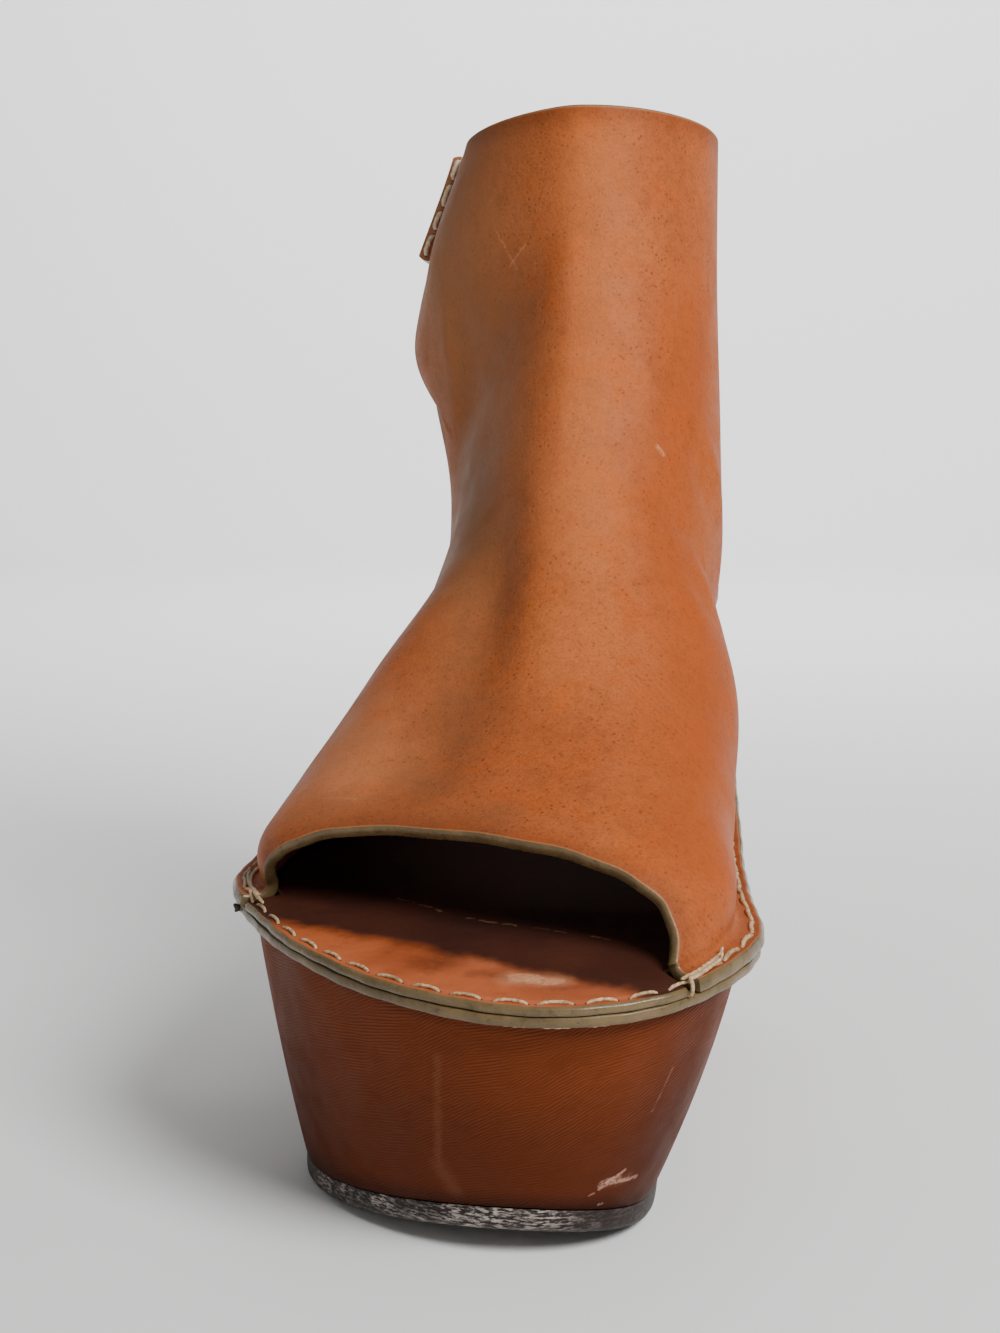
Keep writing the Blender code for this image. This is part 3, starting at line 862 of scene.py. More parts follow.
def seam_hole(place, up, along):
    """A small dimple where thread enters the leather; its dark colour is painted shade of the hole."""
    right = unit(np.cross(along, up))
    ahead = HOLE_LENGTHEN * np.cross(up, right)
    points = [place + HOLE_R * (math.cos(a) * right + math.sin(a) * ahead) - HOLE_SUNK * up
              for a in angles(THREAD_SIDES)]
    faces = [(k, (k + 1) % THREAD_SIDES, THREAD_SIDES) for k in range(THREAD_SIDES)]
    return np.array(points + [place + HOLE_RAISED * up]), faces


class Bundle:
    """Many small meshes gathered into one."""

    def __init__(self):
        self.points, self.faces, self.numbers, self.count = [], [], [], 0

    def add(self, points, faces, number=0):
        self.points.append(points)
        self.faces += [tuple(i + self.count for i in face) for face in faces]
        self.numbers += [number] * len(faces)
        self.count += len(points)

    def mesh(self):
        return np.vstack(self.points), self.faces, self.numbers


def uneven(number):
    """A repeatable value between -1 and 1 for the stitch of a number."""
    return 2 * (math.sin(number * 12.9898) * 43758.5453 % 1.0) - 1


def stitch(bundle, surface, start, end, gap, radius):
    """One stitch between two holes. Surface gives a point and a normal at a place along the seam."""
    low = start + gap + STITCH_UNEVEN * uneven(start)
    high = end - gap + STITCH_UNEVEN * uneven(end)
    path, ups = [], []
    for i in range(STITCH_STEPS + 1):
        t = i / STITCH_STEPS
        point, up = surface(low + t * (high - low))
        rise = radius * (STITCH_ARCH * (1 - abs(2 * t - 1) ** ARCH_POWER) - STITCH_SINK)
        path.append(point + rise * up)
        ups.append(up)
    bundle.add(*tube(path, ups, radius))
    for place in (low, high):
        point, up = surface(place)
        bundle.add(*seam_hole(point, up, path[-1] - path[0]), 1)


def by_corner(side, distance, inset, height):
    """A point on the ledge at a distance behind the corner of the toe opening."""
    seam = seams[side]
    share = seam.share(seam.length(foot_share(0, side)) + distance)
    return ledge_place(side, share, inset, height)


def smoothed(path):
    """A curve through the points of a path, with two more between each pair."""
    path = np.asarray(path, float)
    pulls = np.gradient(path, axis=0) / 3
    curve = []
    for i in range(len(path) - 1):
        controls = path[i], path[i] + pulls[i], path[i + 1] - pulls[i + 1], path[i + 1]
        curve += [bezier(*controls, t) for t in (0.0, 1 / 3, 2 / 3)]
    return np.array(curve + [path[-1]])


def wind(bundle, side, start, start_inset, end, end_inset, under):
    """Thread laid over the ledge from a start to an end, and on round its edge where it goes under."""
    lift = MARGIN_TOP_Z + WRAP_R * WRAP_LIFT
    path = []
    for i in range(WRAP_STEPS + 1):
        t = i / WRAP_STEPS
        inset = start_inset + t * (end_inset - start_inset)
        path.append(by_corner(side, start + t * (end - start), inset, lift + (0.0 if i else WRAP_START_LIFT)))
    if under:
        path += [by_corner(side, end - ahead, inset, height) for ahead, inset, height in WRAP_UNDER]
    path = smoothed(path)
    up = unit(np.array([*ledge.outward(foot_share(0, side), side), WRAP_LEAN]))
    bundle.add(*tube(path, [up] * len(path), WRAP_R))


def tie_knot(bundle):
    """The knot that ends the seam, at the outer corner of the toe opening: a trefoil of thread."""
    place = by_corner(OUTER, *KNOT_PLACE)
    path = []
    for a in np.linspace(0.0, math.tau, KNOT_STEPS + 1):
        x, y = math.sin(a) + 2 * math.sin(2 * a), math.cos(a) - 2 * math.cos(2 * a)
        path.append(place + KNOT_R / 3 * np.array([x, y, -KNOT_DEPTH * math.sin(3 * a)]))
    bundle.add(*tube(path, [KNOT_UP] * len(path), KNOT_THREAD_R, taper=0.0), 2)


def on_flank(share, side):
    """True beside the upper's wall, where the margin lies on the ledge; elsewhere the insole does."""
    return foot_share(0, side) <= share <= foot_share(CORNER, side)


def seam_thread():
    """Thread round the ledge: stitches above and below, and the wound corners of the toe opening."""
    bundle = Bundle()
    for side, seam in seams.items():
        def above(length, side=side, seam=seam):
            share = seam.share(length)
            inset = SEAM_INSET + SEAM_BOW * math.sin(math.pi * (length % seam.pitch) / seam.pitch)
            top = MARGIN_TOP_Z if on_flank(share, side) else INSOLE_TOP_Z
            return ledge_place(side, share, inset, top - seam_groove(inset)), np.array([0.0, 0.0, 1.0])

        def below(length, side=side, seam=seam):
            share = seam.share(length)
            facing = unit(np.array([*ledge.outward(share, side), -1.0]))
            return ledge_place(side, share, UNDER_INSET, -UNDER_DROP), facing

        for i in range(seam.count):
            start, end = i * seam.pitch, (i + 1) * seam.pitch
            if on_flank(seam.share((start + end) / 2), side):
                stitch(bundle, above, start, end, FLANK_GAP, FLANK_THREAD_R)
            else:
                stitch(bundle, above, start, end, TOP_GAP, THREAD_R)
            stitch(bundle, below, start, end, UNDER_GAP, UNDER_THREAD_R)
    for wrap in WRAPS:
        wind(bundle, *wrap)
    tie_knot(bundle)
    return bundle.mesh()


def tab_thread():
    """Stitches beside the strap's two sewn ends."""
    bundle = Bundle()
    pitch = STRAP_W / TAB_STITCHES
    for side, end in STRAP_END.items():
        def beside(depth, side=side, share=end):
            row = flap_row_at(side, share, STRAP_DROP + depth)
            place = flap_point(row, side, share)
            ahead = unit(flap_point(row, side, share - SMALL) - place)
            outward = flap_normal(row, side, share)
            return place + TAB_AHEAD * ahead + TAB_LIFT * outward, unit(ahead + outward)

        for i in range(TAB_STITCHES):
            stitch(bundle, beside, i * pitch, (i + 1) * pitch, TAB_GAP, TAB_THREAD_R)
    return bundle.mesh()


# Colours as red, green and blue between 0 and 255
TAN_LIGHT, TAN, TAN_DARK = (177, 95, 49), (159, 82, 42), (94, 46, 23)
TAN_WARM, TAN_SHEEN, TAN_SHADOWED = (174, 84, 35), (192, 130, 90), (150, 66, 22)
TAN_HIGHLIGHT, TAN_SHADE, TAN_SOIL_AND_SHADE = (216, 130, 74), (150, 110, 77), (108, 72, 46)
COVER_TOP_LIT, COVER, COVER_DARK = (97, 43, 17), (78, 33, 12), (44, 18, 9)
COVER_CREST_HIGHLIGHT, COVER_SCUFF = (146, 76, 42), (196, 152, 134)
INSOLE_LIGHT, INSOLE, INSOLE_DARK = (176, 92, 52), (150, 74, 40), (42, 15, 7)
RAW_LIGHT, RAW, RAW_DARK = (112, 92, 60), (90, 73, 46), (48, 38, 25)
LINING, LINING_DARK = (186, 110, 72), (150, 84, 54)
THREAD_LIT, THREAD_LIGHT, THREAD_DARK = (246, 234, 212), (212, 180, 140), (146, 112, 78)
RUBBER, RUBBER_WORN = (34, 23, 20), (182, 170, 162)
HOLE, KNOT_DARK = (30, 18, 12), (44, 30, 20)
PALE_SCUFF_AND_GLINT = (206, 150, 112)
FLOOR, FLOOR_DIM = (246, 246, 245), (243, 243, 242)

# Layers of colour: the noise's size, detail and roughness, the span of it that shows, and the paint. A span
# is two values of the noise and the shares of paint there, which are 0 and 1 unless given.
FIBRE = (0.7, 4.0, 0.6)
MOTTLE = (2.4, 5.0, 0.7)
TAN_LAYERS = (
    ((34, 4), (0.3, 0.7), TAN_LIGHT),
    ((13, 6, 0.7), (0.5, 0.78, 0, 0.28), TAN_DARK),
    ((9, 4, 0.6), (0.48, 0.68, 0, 0.75), TAN_WARM),
    (MOTTLE, (0.40, 0.72, 0, 0.25), TAN_DARK),
    ((0.55, 3, 0.6), (0.42, 0.70, 0, 0.34), TAN_DARK),
)
INSOLE_LAYERS = (
    ((20, 4), (0.3, 0.7), INSOLE_LIGHT),
    ((8, 5, 0.65), (0.54, 0.72, 0, 0.3), INSOLE_DARK),
)
RAW_LAYERS = (
    ((7, 4), (0.3, 0.7), RAW_LIGHT),
    ((1.4, 4, 0.7), (0.5, 0.75, 0, 0.6), RAW_DARK),
)
THREAD_SOIL = ((12, 3), (0.45, 0.7, 0, 0.45), RAW)

# Marks of wear, painted light and shade: a line on the shoe from one place to another, how wide it is and how
# strongly it shows
UPPER_MARKS = (
    ((-9.6, 132.6, 197.2), (-4.4, 128.8, 188.6), 0.5, 0.35),
    ((-2.1, 127.1, 194), (-7, 130.7, 188.4), 0.5, 0.35),
    ((29, 113.8, 148.8), (30.3, 114.5, 147.1), 0.9, 0.55),
    ((-32.6, 52.3, 80.2), (-24.4, 48.6, 81.2), 0.5, 0.16),
)
# Painted shade: a paler, greyer tone over the shaded outer face of the cuff
UPPER_SHADE = (
    ((-30, 152, 216), (-20, 124, 128), 48, 0.62),
)
# Painted shadow down the inner side of the upper
UPPER_INNER_SHADOW = (
    ((37, 134, 176), (36, 104, 124), 22, 0.45),
    ((36, 104, 124), (44, 70, 92), 24, 0.50),
    ((44, 70, 92), (43, 38, 75), 24, 0.60),
)
# Painted sheen on the outer side of the vamp
UPPER_OUTER_SHEEN = (
    ((-36, 82, 92), (-30, 60, 84), 24, 0.40),
)
# Painted highlight along the ridge of the upper
UPPER_RIDGE_HIGHLIGHT = (
    ((13.5, 125, 216), (16.5, 111.7, 161), 16, 0.20),
    ((16.5, 111.7, 161), (16, 94, 128), 17, 0.20),
    ((16, 94, 128), (15, 70, 103), 17, 0.09),
)
# A nick (first row), dirt behind the toe opening (last row), and between them painted shade along the valley
# left of the ridge
UPPER_SOIL_AND_SHADE = (
    ((-17, 66.7, 93.8), (-16.5, 65.6, 93.2), 1.2, 0.7),
    ((-20, 136, 143), (-13, 112, 130), 21, 0.50),
    ((-13, 112, 130), (-10, 92, 117), 18, 0.62),
    ((-10, 92, 117), (-9, 80, 107), 17, 0.66),
    ((-9, 80, 107), (-9, 64, 95), 16, 0.62),
    ((-9, 64, 95), (-13, 48, 83), 15, 0.50),
    ((-36, 50, 77), (6, 35.5, 79.5), 10, 0.36),
)
UPPER_PAINTED_LIGHT_AND_SOIL = (
    (UPPER_SHADE, TAN_SHADE),
    (UPPER_INNER_SHADOW, TAN_SHADOWED),
    (UPPER_OUTER_SHEEN, TAN_SHEEN),
    (UPPER_RIDGE_HIGHLIGHT, TAN_HIGHLIGHT),
    (UPPER_SOIL_AND_SHADE, TAN_SOIL_AND_SHADE),
)
COVER_MARKS = (
    ((26.5, 22.2, 15.1), (29, 23.6, 15.8), 1.7, 0.42),
    ((27, 22.4, 15.4), (30.5, 23.8, 17.4), 0.6, 0.55),
    ((27.5, 22.8, 15.2), (32.1, 27.6, 14.7), 0.9, 0.55),
    ((26.6, 22.3, 15.4), (26, 22.4, 14), 0.7, 0.42),
    ((24, 22.1, 12.8), (24.9, 22.4, 13.1), 0.5, 0.30),
    ((25.4, 24.8, 9.9), (26.2, 25, 10.1), 0.5, 0.40),
    ((39.2, 20.1, 38.7), (35.5, 20.9, 30.2), 0.45, 0.16),
)
# Painted shade down the platform's inner and outer sides
COVER_SIDE_SHADE = (
    ((42, 26, 44), (36, 32, 12), 20, 0.45),
    ((-38, 40, 44), (-32, 44, 12), 18, 0.25),
)
COVER_RUBS = (
    ((-2.2, 9.9, 42.2), (-3.6, 18.7, 18.4), 1.5, 0.06),
    ((-3.6, 18.7, 18.4), (-1, 19.8, 13), 3, 0.05),
    ((27.2, 22.6, 15.2), (30.6, 26, 15.3), 1.9, 0.10),
)
# The first two rows are scuffs; the last two are a painted highlight line inside the shoe
INSOLE_MARKS_AND_GLINT = (
    ((11.5, 11.8, 56.8), (15, 11.8, 56.8), 3, 0.5),
    ((14, 10.6, 56.8), (19, 10.9, 56.8), 2.2, 0.5),
    ((-18, 53, 59.8), (-1.7, 41.8, 59.2), 0.6, 0.30),
    ((-1.7, 41.8, 59.2), (27, 32.8, 58.6), 0.5, 0.25),
)
INSOLE_RUBS = (
    ((11, 11.3, 56.8), (19, 11.3, 56.8), 4.5, 0.35),
)
INSOLE_STAINS = (
    ((-6, 17, 57.4), (-2, 18, 57.5), 6, 0.45),
    ((4, 13, 57), (8, 13.5, 57), 3, 0.4),
)
INNER_CREASE_HIGHLIGHTS = ((21, 79, 109.5), (36, 69, 95), 12)     # a line on the upper and its width
SCUFFED_TOE = ((-32, 34, 7), (8, 20, 8), 26)            # a line on the outsole and its width
LIP_SHADOW_LINE = ((48, 13), (-43, 50))           # toe opening in plan; shadow is painted on the insole behind it
SHADOW_AHEAD = (14.0, 8.0)                    # where the painted shadow begins and is full, in front of that line
BORDER_DARK_W, BORDER_PALE_W = 6.0, 0.5      # along the raw edges: a darker band and a pale line on the arris
PORE_PITCH, PIT_PITCH = 1.45, 1.3
WAVE_PERIOD = math.tau / 20                 # of the wave texture at scale 1
SCRAPE_STRETCH = 5.0                        # how far the outsole's scrapes are drawn out

# Creases: how far apart they are, how far they are drawn out, and their tilt. Breaks have the last two.
FINE_CREASES = (0.9, 3.0, 42.0)
LONG_CREASES = (0.62, 4.0, -14.0)
CROSS_CREASES = (0.58, 3.2, -34.0)
CREASE_BREAKS = (2.0, -24.0)


def linear(colour):
    """Scene colour of a red, green and blue between 0 and 255."""
    shares = [value / 255 for value in colour]
    return tuple(s / 12.92 if s <= 0.04045 else ((s + 0.055) / 1.055) ** 2.4 for s in shares) + (1.0,)


class Shader:
    """A material's node tree. Its calls return sockets, or paint on the colour that it has so far."""

    def __init__(self, name, ground, layers=()):
        self.material = bpy.data.materials.new(name)
        self.material.use_nodes = True
        self.tree = self.material.node_tree
        self.place = self.node("ShaderNodeTexCoord").outputs["Object"]
        self.colour = linear(ground)
        for noise, limits, paint in layers:
            self.paint(self.patches(noise, *limits), paint)

    def node(self, kind, inputs=None, **settings):
        made = self.tree.nodes.new(kind)
        for name, value in settings.items():
            setattr(made, name, value)
        for name, value in (inputs or {}).items():
            self.feed(made.inputs[name], value)
        return made

    def feed(self, socket, value):
        if isinstance(value, bpy.types.NodeSocket):
            self.tree.links.new(value, socket)
        else:
            socket.default_value = value

    def made(self, **values):
        """The material, with its colour and values for the surface's sockets, underscores for spaces."""
        surface = self.tree.nodes["Principled BSDF"]
        for name, value in {"Base_Color": self.colour, **values}.items():
            self.feed(surface.inputs[name.replace("_", " ")], value)
        return self.material

    def math(self, operation, a, b):
        return self.node("ShaderNodeMath", {0: a, 1: b}, operation=operation).outputs[0]

    def times(self, *values):
        """Product of sockets and numbers."""
        return reduce(lambda a, b: self.math("MULTIPLY", a, b), values)

    def vector(self, operation, a, b, second=1):
        """Vector or number that an operation gives."""
        made = self.node("ShaderNodeVectorMath", {0: a, second: b}, operation=operation)
        return made.outputs["Value" if operation in ("DOT_PRODUCT", "DISTANCE") else "Vector"]

    def mix(self, share, a, b):
        return self.node("ShaderNodeMix", {0: share, 6: a, 7: b}, data_type="RGBA").outputs[2]

    def span(self, value, low, high, to_low=0.0, to_high=1.0):
        """A smooth step from one value to another between a low and a high."""
        inputs = {"Value": value, "From Min": low, "From Max": high, "To Min": to_low, "To Max": to_high}
        return self.node("ShaderNodeMapRange", inputs, interpolation_type="SMOOTHSTEP").outputs[0]

    def value(self, name):
        return self.node("ShaderNodeAttribute", attribute_name=name).outputs["Fac"]

    def drawn(self, stretch, tilt=0.0):
        """Places for a texture that is drawn out along X and Y and tilted about Y."""
        turn = (0.0, math.radians(tilt), 0.0)
        inputs = {"Vector": self.place, "Scale": (stretch, stretch, 1.0), "Rotation": turn}
        return self.node("ShaderNodeMapping", inputs, vector_type="TEXTURE").outputs[0]

    def noise(self, size, detail=3.0, roughness=0.55, vector=None, output=0):
        """Noise whose main blobs are about the given size in millimetres."""
        inputs = {"Vector": vector or self.place, "Scale": 1 / (size * MM), "Detail": detail,
                  "Roughness": roughness}
        return self.node("ShaderNodeTexNoise", inputs).outputs[output]

    def patches(self, noise, *limits):
        return self.span(self.noise(*noise), *limits)

    def cells(self, size):
        inputs = {"Vector": self.place, "Scale": 1 / (size * MM)}
        return self.node("ShaderNodeTexVoronoi", inputs).outputs["Distance"]

    def wrinkles(self, size, stretch, tilt):
        """Uneven lines a size apart in millimetres: 1 on their crests and 0 between them."""
        inputs = {"Vector": self.drawn(stretch, tilt), "Scale": WAVE_PERIOD / (size * MM), "Distortion": 5.0,
                  "Detail": 2.0, "Detail Scale": 1.0, "Detail Roughness": 0.6}
        return self.node("ShaderNodeTexWave", inputs, bands_direction="Z").outputs["Fac"]

    def ragged(self, size, reach):
        """Places pushed about by noise of a size, for uneven outlines."""
        scatter = self.vector("SUBTRACT", self.noise(size, 3.0, 0.5, output="Color"), (0.5, 0.5, 0.5))
        return self.vector("ADD", self.place, self.vector("SCALE", scatter, 2 * reach * MM, "Scale"))

    def behind(self, line):
        """Millimetres behind a plan line, counted towards the heel."""
        a, b = (Vector(world((*end, 0.0))) for end in line)
        run = (b - a).normalized()
        square = Vector((-run.y, run.x, 0.0)) * math.copysign(1.0, run.x)
        return self.math("SUBTRACT", self.vector("DOT_PRODUCT", self.place, square / MM), a.dot(square) / MM)

    def streak(self, start, end, width, vector=None):
        """1 on a line between two places in the shoe's millimetres, fading over a width."""
        a, b = (Vector(world(place)) for place in (start, end))
        run = b - a
        ray = self.vector("SUBTRACT", vector or self.place, a)
        share = self.vector("DOT_PRODUCT", ray, run / run.length_squared)
        along = self.node("ShaderNodeClamp", {"Value": share}).outputs[0]
        away = self.vector("DISTANCE", ray, self.vector("SCALE", run, along, "Scale"))
        return self.span(away, 0.0, width * MM, 1.0, 0.0)

    def paint(self, share, colour):
        self.colour = self.mix(share, self.colour, linear(colour))

    def mark(self, marks, colour, vector):
        """Paint broken lines."""
        broken = self.patches((0.8, 4.0, 0.7), 0.34, 0.56)
        for start, end, width, amount in marks:
            line = self.span(self.streak(start, end, width, vector), 0.1, 0.5)
            self.paint(self.times(line, broken, amount), colour)

    def soft_paint(self, soft_patches, colour, vector):
        """Paint soft patches that fade towards their borders, for dirt and for painted light and shade."""
        share = 0.0
        for start, end, width, amount in soft_patches:
            spread = self.streak(start, end, width, vector)
            share = self.math("MAXIMUM", self.times(spread, amount), share)
        self.paint(share, colour)

    def relief(self, *layers):
        """Normal of bumps laid one over the other: a noise or a socket, and its depth in millimetres."""
        normal = {}
        for height, depth in layers:
            if isinstance(height, tuple):
                height = self.noise(*height)
            bump = self.node("ShaderNodeBump", {"Height": height, "Distance": depth * MM, **normal})
            normal = {"Normal": bump.outputs[0]}
        return normal["Normal"]


def tan_leather():
    """Outer face of the upper and the strap."""
    shader = Shader("tan_leather_worn", TAN, TAN_LAYERS)
    pores = shader.span(shader.cells(PORE_PITCH), 0.07, 0.32, 0.78, 0.0)
    shader.paint(shader.times(pores, shader.patches((6.0, 5.0, 0.65), 0.36, 0.62)), TAN_DARK)
    shader.mark(UPPER_MARKS, PALE_SCUFF_AND_GLINT, shader.ragged(2.0, 0.35))
    soft = shader.ragged(6.0, 5.0)
    # Painted shade and shadow, painted sheen and highlight, and soil, each soft and ragged
    for soft_patches, paint in UPPER_PAINTED_LIGHT_AND_SOIL:
        shader.soft_paint(soft_patches, paint, soft)
    fine = shader.wrinkles(*FINE_CREASES)
    mottle = shader.patches(MOTTLE, 0.40, 0.72)
    # Painted highlight on the crests of fine creases on the inner side
    shader.paint(shader.times(fine, mottle, shader.streak(*INNER_CREASE_HIGHLIGHTS, soft), 0.20), TAN_HIGHLIGHT)
    border = shader.value("border")
    # Darker near the raw edges, with a pale line on their arris
    shader.paint(shader.span(border, 0.0, BORDER_DARK_W, 0.4, 0.0), TAN_DARK)
    shader.paint(shader.span(border, 0.0, BORDER_PALE_W, 0.3, 0.0), PALE_SCUFF_AND_GLINT)
    pits = shader.span(shader.cells(PIT_PITCH), 0.0, 0.32)
    relief = shader.relief(((22.0, 2.0), 0.5), ((1.1, 4.0, 0.6), 0.09), (pits, 0.08))
    gloss = shader.patches((9.0, 4.0), 0.25, 0.75, 0.48, 0.62)
    return shader.made(Roughness=gloss, Specular_IOR_Level=0.09, Normal=relief)


def cover_leather():
    """The wedge's cover: darker and redder, with fine creases."""
    shader = Shader("cover_leather_worn", COVER)
    rise = shader.value("rise")
    # Painted light: lighter towards the top, with a little random tone
    lit_top = shader.span(rise, 0.40, 0.90, 0.1, 0.9)
    shader.paint(shader.math("ADD", lit_top, shader.patches((30.0, 4.0), 0.3, 0.7, -0.1, 0.1)), COVER_TOP_LIT)
    # Darker towards the outsole
    shader.paint(shader.span(rise, 0.0, 0.12, 0.85, 0.0), COVER_DARK)
    # Painted shadow just under the ledge
    shader.paint(shader.span(rise, 0.96, 1.0, 0.0, 0.4), COVER_DARK)
    creases = shader.wrinkles(*LONG_CREASES)
    across = shader.wrinkles(*CROSS_CREASES)
    broken = shader.patches((3.0, 3.0, 0.6, shader.drawn(*CREASE_BREAKS)), 0.28, 0.52, 0.55, 1.0)
    folds = shader.mix(shader.patches((14.0, 3.0), 0.40, 0.60), creases, across)
    folds = shader.times(folds, broken, shader.span(rise, 0.1, 0.8, 0.3, 1.0))
    # Painted highlight on the crests of the creases
    shader.paint(shader.times(folds, 0.36), COVER_CREST_HIGHLIGHT)
    torn = shader.ragged(1.6, 0.9)
    # Painted shade on the platform's sides
    shader.soft_paint(COVER_SIDE_SHADE, COVER_DARK, torn)
    shader.soft_paint(COVER_RUBS, PALE_SCUFF_AND_GLINT, torn)
    shader.mark(COVER_MARKS, COVER_SCUFF, shader.ragged(0.7, 0.3))
    relief = shader.relief(((18.0, 2.0), 0.5), (folds, 0.06), ((0.9, 4.0), 0.03))
    gloss = shader.patches((8.0, 4.0), 0.25, 0.75, 0.42, 0.58)
    return shader.made(Roughness=gloss, Specular_IOR_Level=0.05, Normal=relief)


def insole_leather():
    """Footbed, polished, with a painted shadow inside the shoe behind the toe opening."""
    shader = Shader("insole_leather_worn", INSOLE, INSOLE_LAYERS)
    # Painted shadow behind the toe opening, with a soft uneven border
    depth = shader.math("ADD", shader.behind(LIP_SHADOW_LINE), shader.patches((12.0, 3.0), 0.3, 0.7, -1.5, 1.5))
    begin, full = SHADOW_AHEAD
    shadowed = shader.span(depth, -begin, -full)
    shader.paint(shader.times(shadowed, shader.patches((24.0, 4.0), 0.2, 0.8, 0.9, 1.0)), INSOLE_DARK)
    torn = shader.ragged(3.0, 1.6)
    shader.soft_paint(INSOLE_STAINS, INSOLE_DARK, torn)
    shader.soft_paint(INSOLE_RUBS, PALE_SCUFF_AND_GLINT, torn)
    shader.mark(INSOLE_MARKS_AND_GLINT, PALE_SCUFF_AND_GLINT, torn)
    polish = shader.patches((6.0, 4.0), 0.25, 0.75, 0.22, 0.40)
    gloss = shader.math("MAXIMUM", polish, shader.times(shadowed, 0.75))
    relief = shader.relief(((11.0, 3.0), 0.5), ((0.9, 4.0), 0.03))
    return shader.made(Roughness=gloss, Specular_IOR_Level=0.20, Normal=relief)


def layered(name, ground, layers, gloss, relief, **constants):
    """A material of layers alone, with the noise and span of its gloss and its relief."""
    shader = Shader(name, ground, layers)
    return shader.made(Roughness=shader.patches(*gloss), Normal=shader.relief(*relief), **constants)


def raw_edge():
    """Burnished cut edges."""
    return layered("raw_edge", RAW, RAW_LAYERS, ((3.0, 3.0), 0.3, 0.7, 0.26, 0.46),
                   [((1.6, 4.0, 0.65), 0.16)], Specular_IOR_Level=0.3, Coat_Weight=0.22, Coat_Roughness=0.15)


def lining():
    """Inner face of the upper: flesh side."""
    return layered("lining_leather", LINING_DARK, [((14.0, 5.0), (0.3, 0.7), LINING)],
                   ((9.0, 3.0), 0.3, 0.7, 0.6, 0.8), [((0.8, 4.0, 0.7), 0.08)], Specular_IOR_Level=0.08)


def outsole_rubber():
    """Dark sole, scuffed pale along its edge."""
    shader = Shader("outsole_rubber_worn", RUBBER)
    streaks = shader.patches((0.4, 5.0, 0.7, shader.drawn(SCRAPE_STRETCH)), 0.46, 0.60)
    scuffed = shader.math("MAXIMUM", shader.streak(*SCUFFED_TOE), 0.1)
    worn = shader.times(streaks, shader.patches((9.0, 4.0, 0.65), 0.35, 0.65, 0.2, 1.0), scuffed)
    shader.paint(worn, RUBBER_WORN)
    relief = shader.relief(((1.2, 5.0, 0.7), 0.15))
    gloss = shader.span(worn, 0.0, 1.0, 0.5, 0.8)
    return shader.made(Roughness=gloss, Specular_IOR_Level=0.25, Normal=relief)


def waxed_thread(name, light, dark):
    layers = (FIBRE, (0.3, 0.7), light), THREAD_SOIL
    return layered(name, dark, layers, (FIBRE, 0.3, 0.7, 0.45, 0.65), [(FIBRE, 0.12)])


# Painted shade of the stitch holes
def seam_hole_dark():
    shader = Shader("seam_hole_dark", HOLE)
    shader.paint(shader.noise(2.0), COVER_DARK)
    return shader.made(Roughness=shader.patches((1.0,), 0.3, 0.7, 0.55, 0.75))


def pale_floor():
    shader = Shader("pale_floor", FLOOR)
    shader.paint(shader.noise(300.0, 2.0), FLOOR_DIM)
    return shader.made(Roughness=0.75)


def add_object(name, data):
    made = bpy.data.objects.new(name, data)
    bpy.context.collection.objects.link(made)
    return made


def add_mesh(name, points, faces, materials):
    """An object with a smooth mesh, from points in metres."""
    mesh = bpy.data.meshes.new(name)
    mesh.from_pydata(points, [], faces)
    for material in materials:
        mesh.materials.append(material)
    mesh.shade_smooth()
    return add_object(name, mesh)


def add_piece(name, mesh_data, materials, node=None, values=None):
    """A named piece from millimetre points, faces and face numbers, riding on the shoe."""
    points, faces, numbers = mesh_data
    piece = add_mesh(name, world(points).tolist(), faces, materials)
    piece.data.polygons.foreach_set("material_index", numbers)
    piece.data.set_sharp_from_angle(angle=math.radians(SHARP_ANGLE))
    for key, row in (values or {}).items():
        piece.data.attributes.new(key, "FLOAT", "POINT").data.foreach_set("value", row)
    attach(piece, "root")
    if node:
        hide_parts(node)


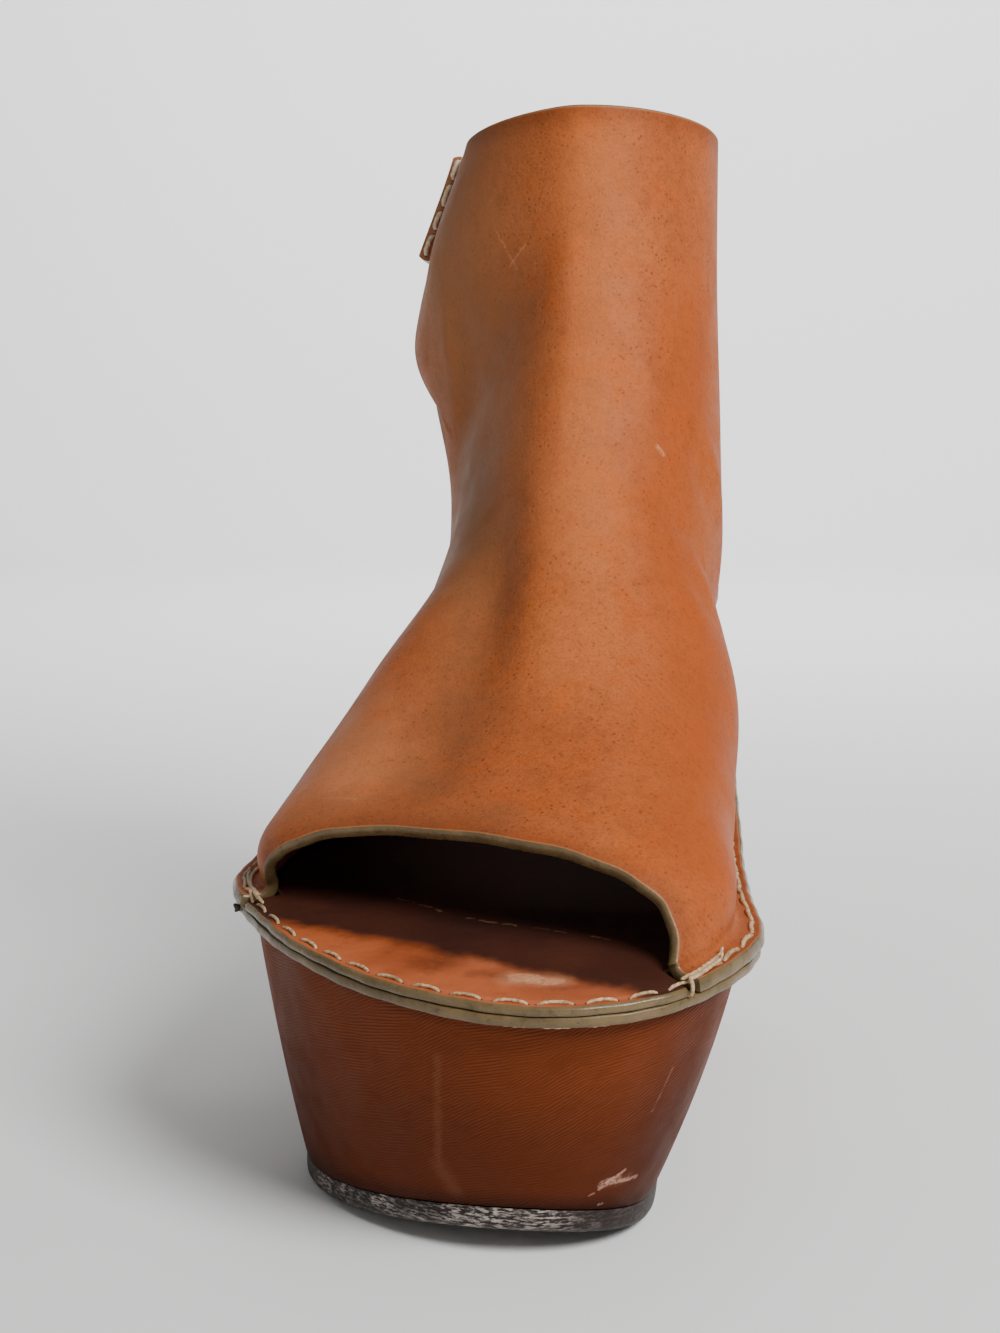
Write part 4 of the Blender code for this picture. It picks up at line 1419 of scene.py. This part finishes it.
def build_shoe():
    tan, cover, edges, shadowed, hole = tan_leather(), cover_leather(), raw_edge(), lining(), seam_hole_dark()
    thread = waxed_thread("waxed_thread", THREAD_LIGHT, THREAD_DARK)
    # The strap's stitches get a brighter copy of the thread: a painted highlight where they sit in shade
    lit_copy = waxed_thread("lit_thread", THREAD_LIT, THREAD_LIGHT)
    knot = waxed_thread("knot_thread", KNOT_DARK, HOLE)
    sheets = (
        ("leather_upper", "tan_leather", "upper", upper_sheet(), UPPER_T, EDGE_SWELL),
        ("sewn_strap", "strap_leather", "back_strap", strap_sheet(), STRAP_T, DOUBLE_SWELL),
    )
    for name, slot, node, (points, faces, folded), thickness, swell in sheets:
        mesh_data = shell(points, faces, thickness, swell, folded)
        border = distance_to_border(points, faces, len(mesh_data[0]))
        add_piece(name, mesh_data, (tan, shadowed, edges), node, {"border": border})
    *mesh_data, rises = wedge_mesh()
    add_piece("covered_wedge", mesh_data, (cover, edges), "wedge", {"rise": rises})
    add_piece("worn_insole", insole_mesh(), (insole_leather(), edges), "insole")
    add_piece("worn_outsole", outsole_mesh(), (outsole_rubber(),), "outsole")
    add_piece("seam_thread", seam_thread(), (thread, hole, knot))
    add_piece("tab_thread", tab_thread(), (lit_copy, hole))


def build_studio():
    rings = [(0.0, 0.0), (FLOOR_R * 0.5, 0.0)]
    for i in range(FLOOR_BEND_STEPS + 1):
        angle = QUARTER * i / FLOOR_BEND_STEPS
        rings.append((FLOOR_R + FLOOR_BEND_R * math.sin(angle), FLOOR_BEND_R * (1 - math.cos(angle))))
    points, faces = [], []
    for i, (radius, height) in enumerate(rings):
        for angle in angles(FLOOR_SIDES):
            points.append((radius * math.cos(angle) * MM, radius * math.sin(angle) * MM, height * MM))
        if i > 0:
            faces += band((i - 1) * FLOOR_SIDES, i * FLOOR_SIDES, FLOOR_SIDES)
    floor = add_mesh("studio_floor", points, faces, (pale_floor(),))


def add_aimed(name, data, place, aim):
    """A lamp or camera at a place, pointing at another, both in metres."""
    made = add_object(name, data)
    made.location = place
    made.rotation_mode = "QUATERNION"
    made.rotation_quaternion = (aim - place).to_track_quat("-Z", "Y")
    return made


def build_light():
    for name, place, aim, size, watts in LIGHTS:
        lamp = bpy.data.lights.new(name, "AREA")
        lamp.shape = "DISK"
        lamp.size = size * MM
        lamp.energy = watts
        add_aimed(name, lamp, Vector(place) * MM, Vector(aim) * MM)
    sky = bpy.data.worlds.new("studio")
    sky.use_nodes = True
    sky.node_tree.nodes["Background"].inputs["Color"].default_value = AMBIENT
    bpy.context.scene.world = sky


def build_camera():
    camera = bpy.data.cameras.new("photo_view")
    camera.lens = LENS
    place, aim = Vector(world(CAMERA_PLACE)), Vector(world(CAMERA_AIM))
    bpy.context.scene.camera = add_aimed("photo_view", camera, place, aim)


build_shoe()
build_studio()
build_light()
build_camera()
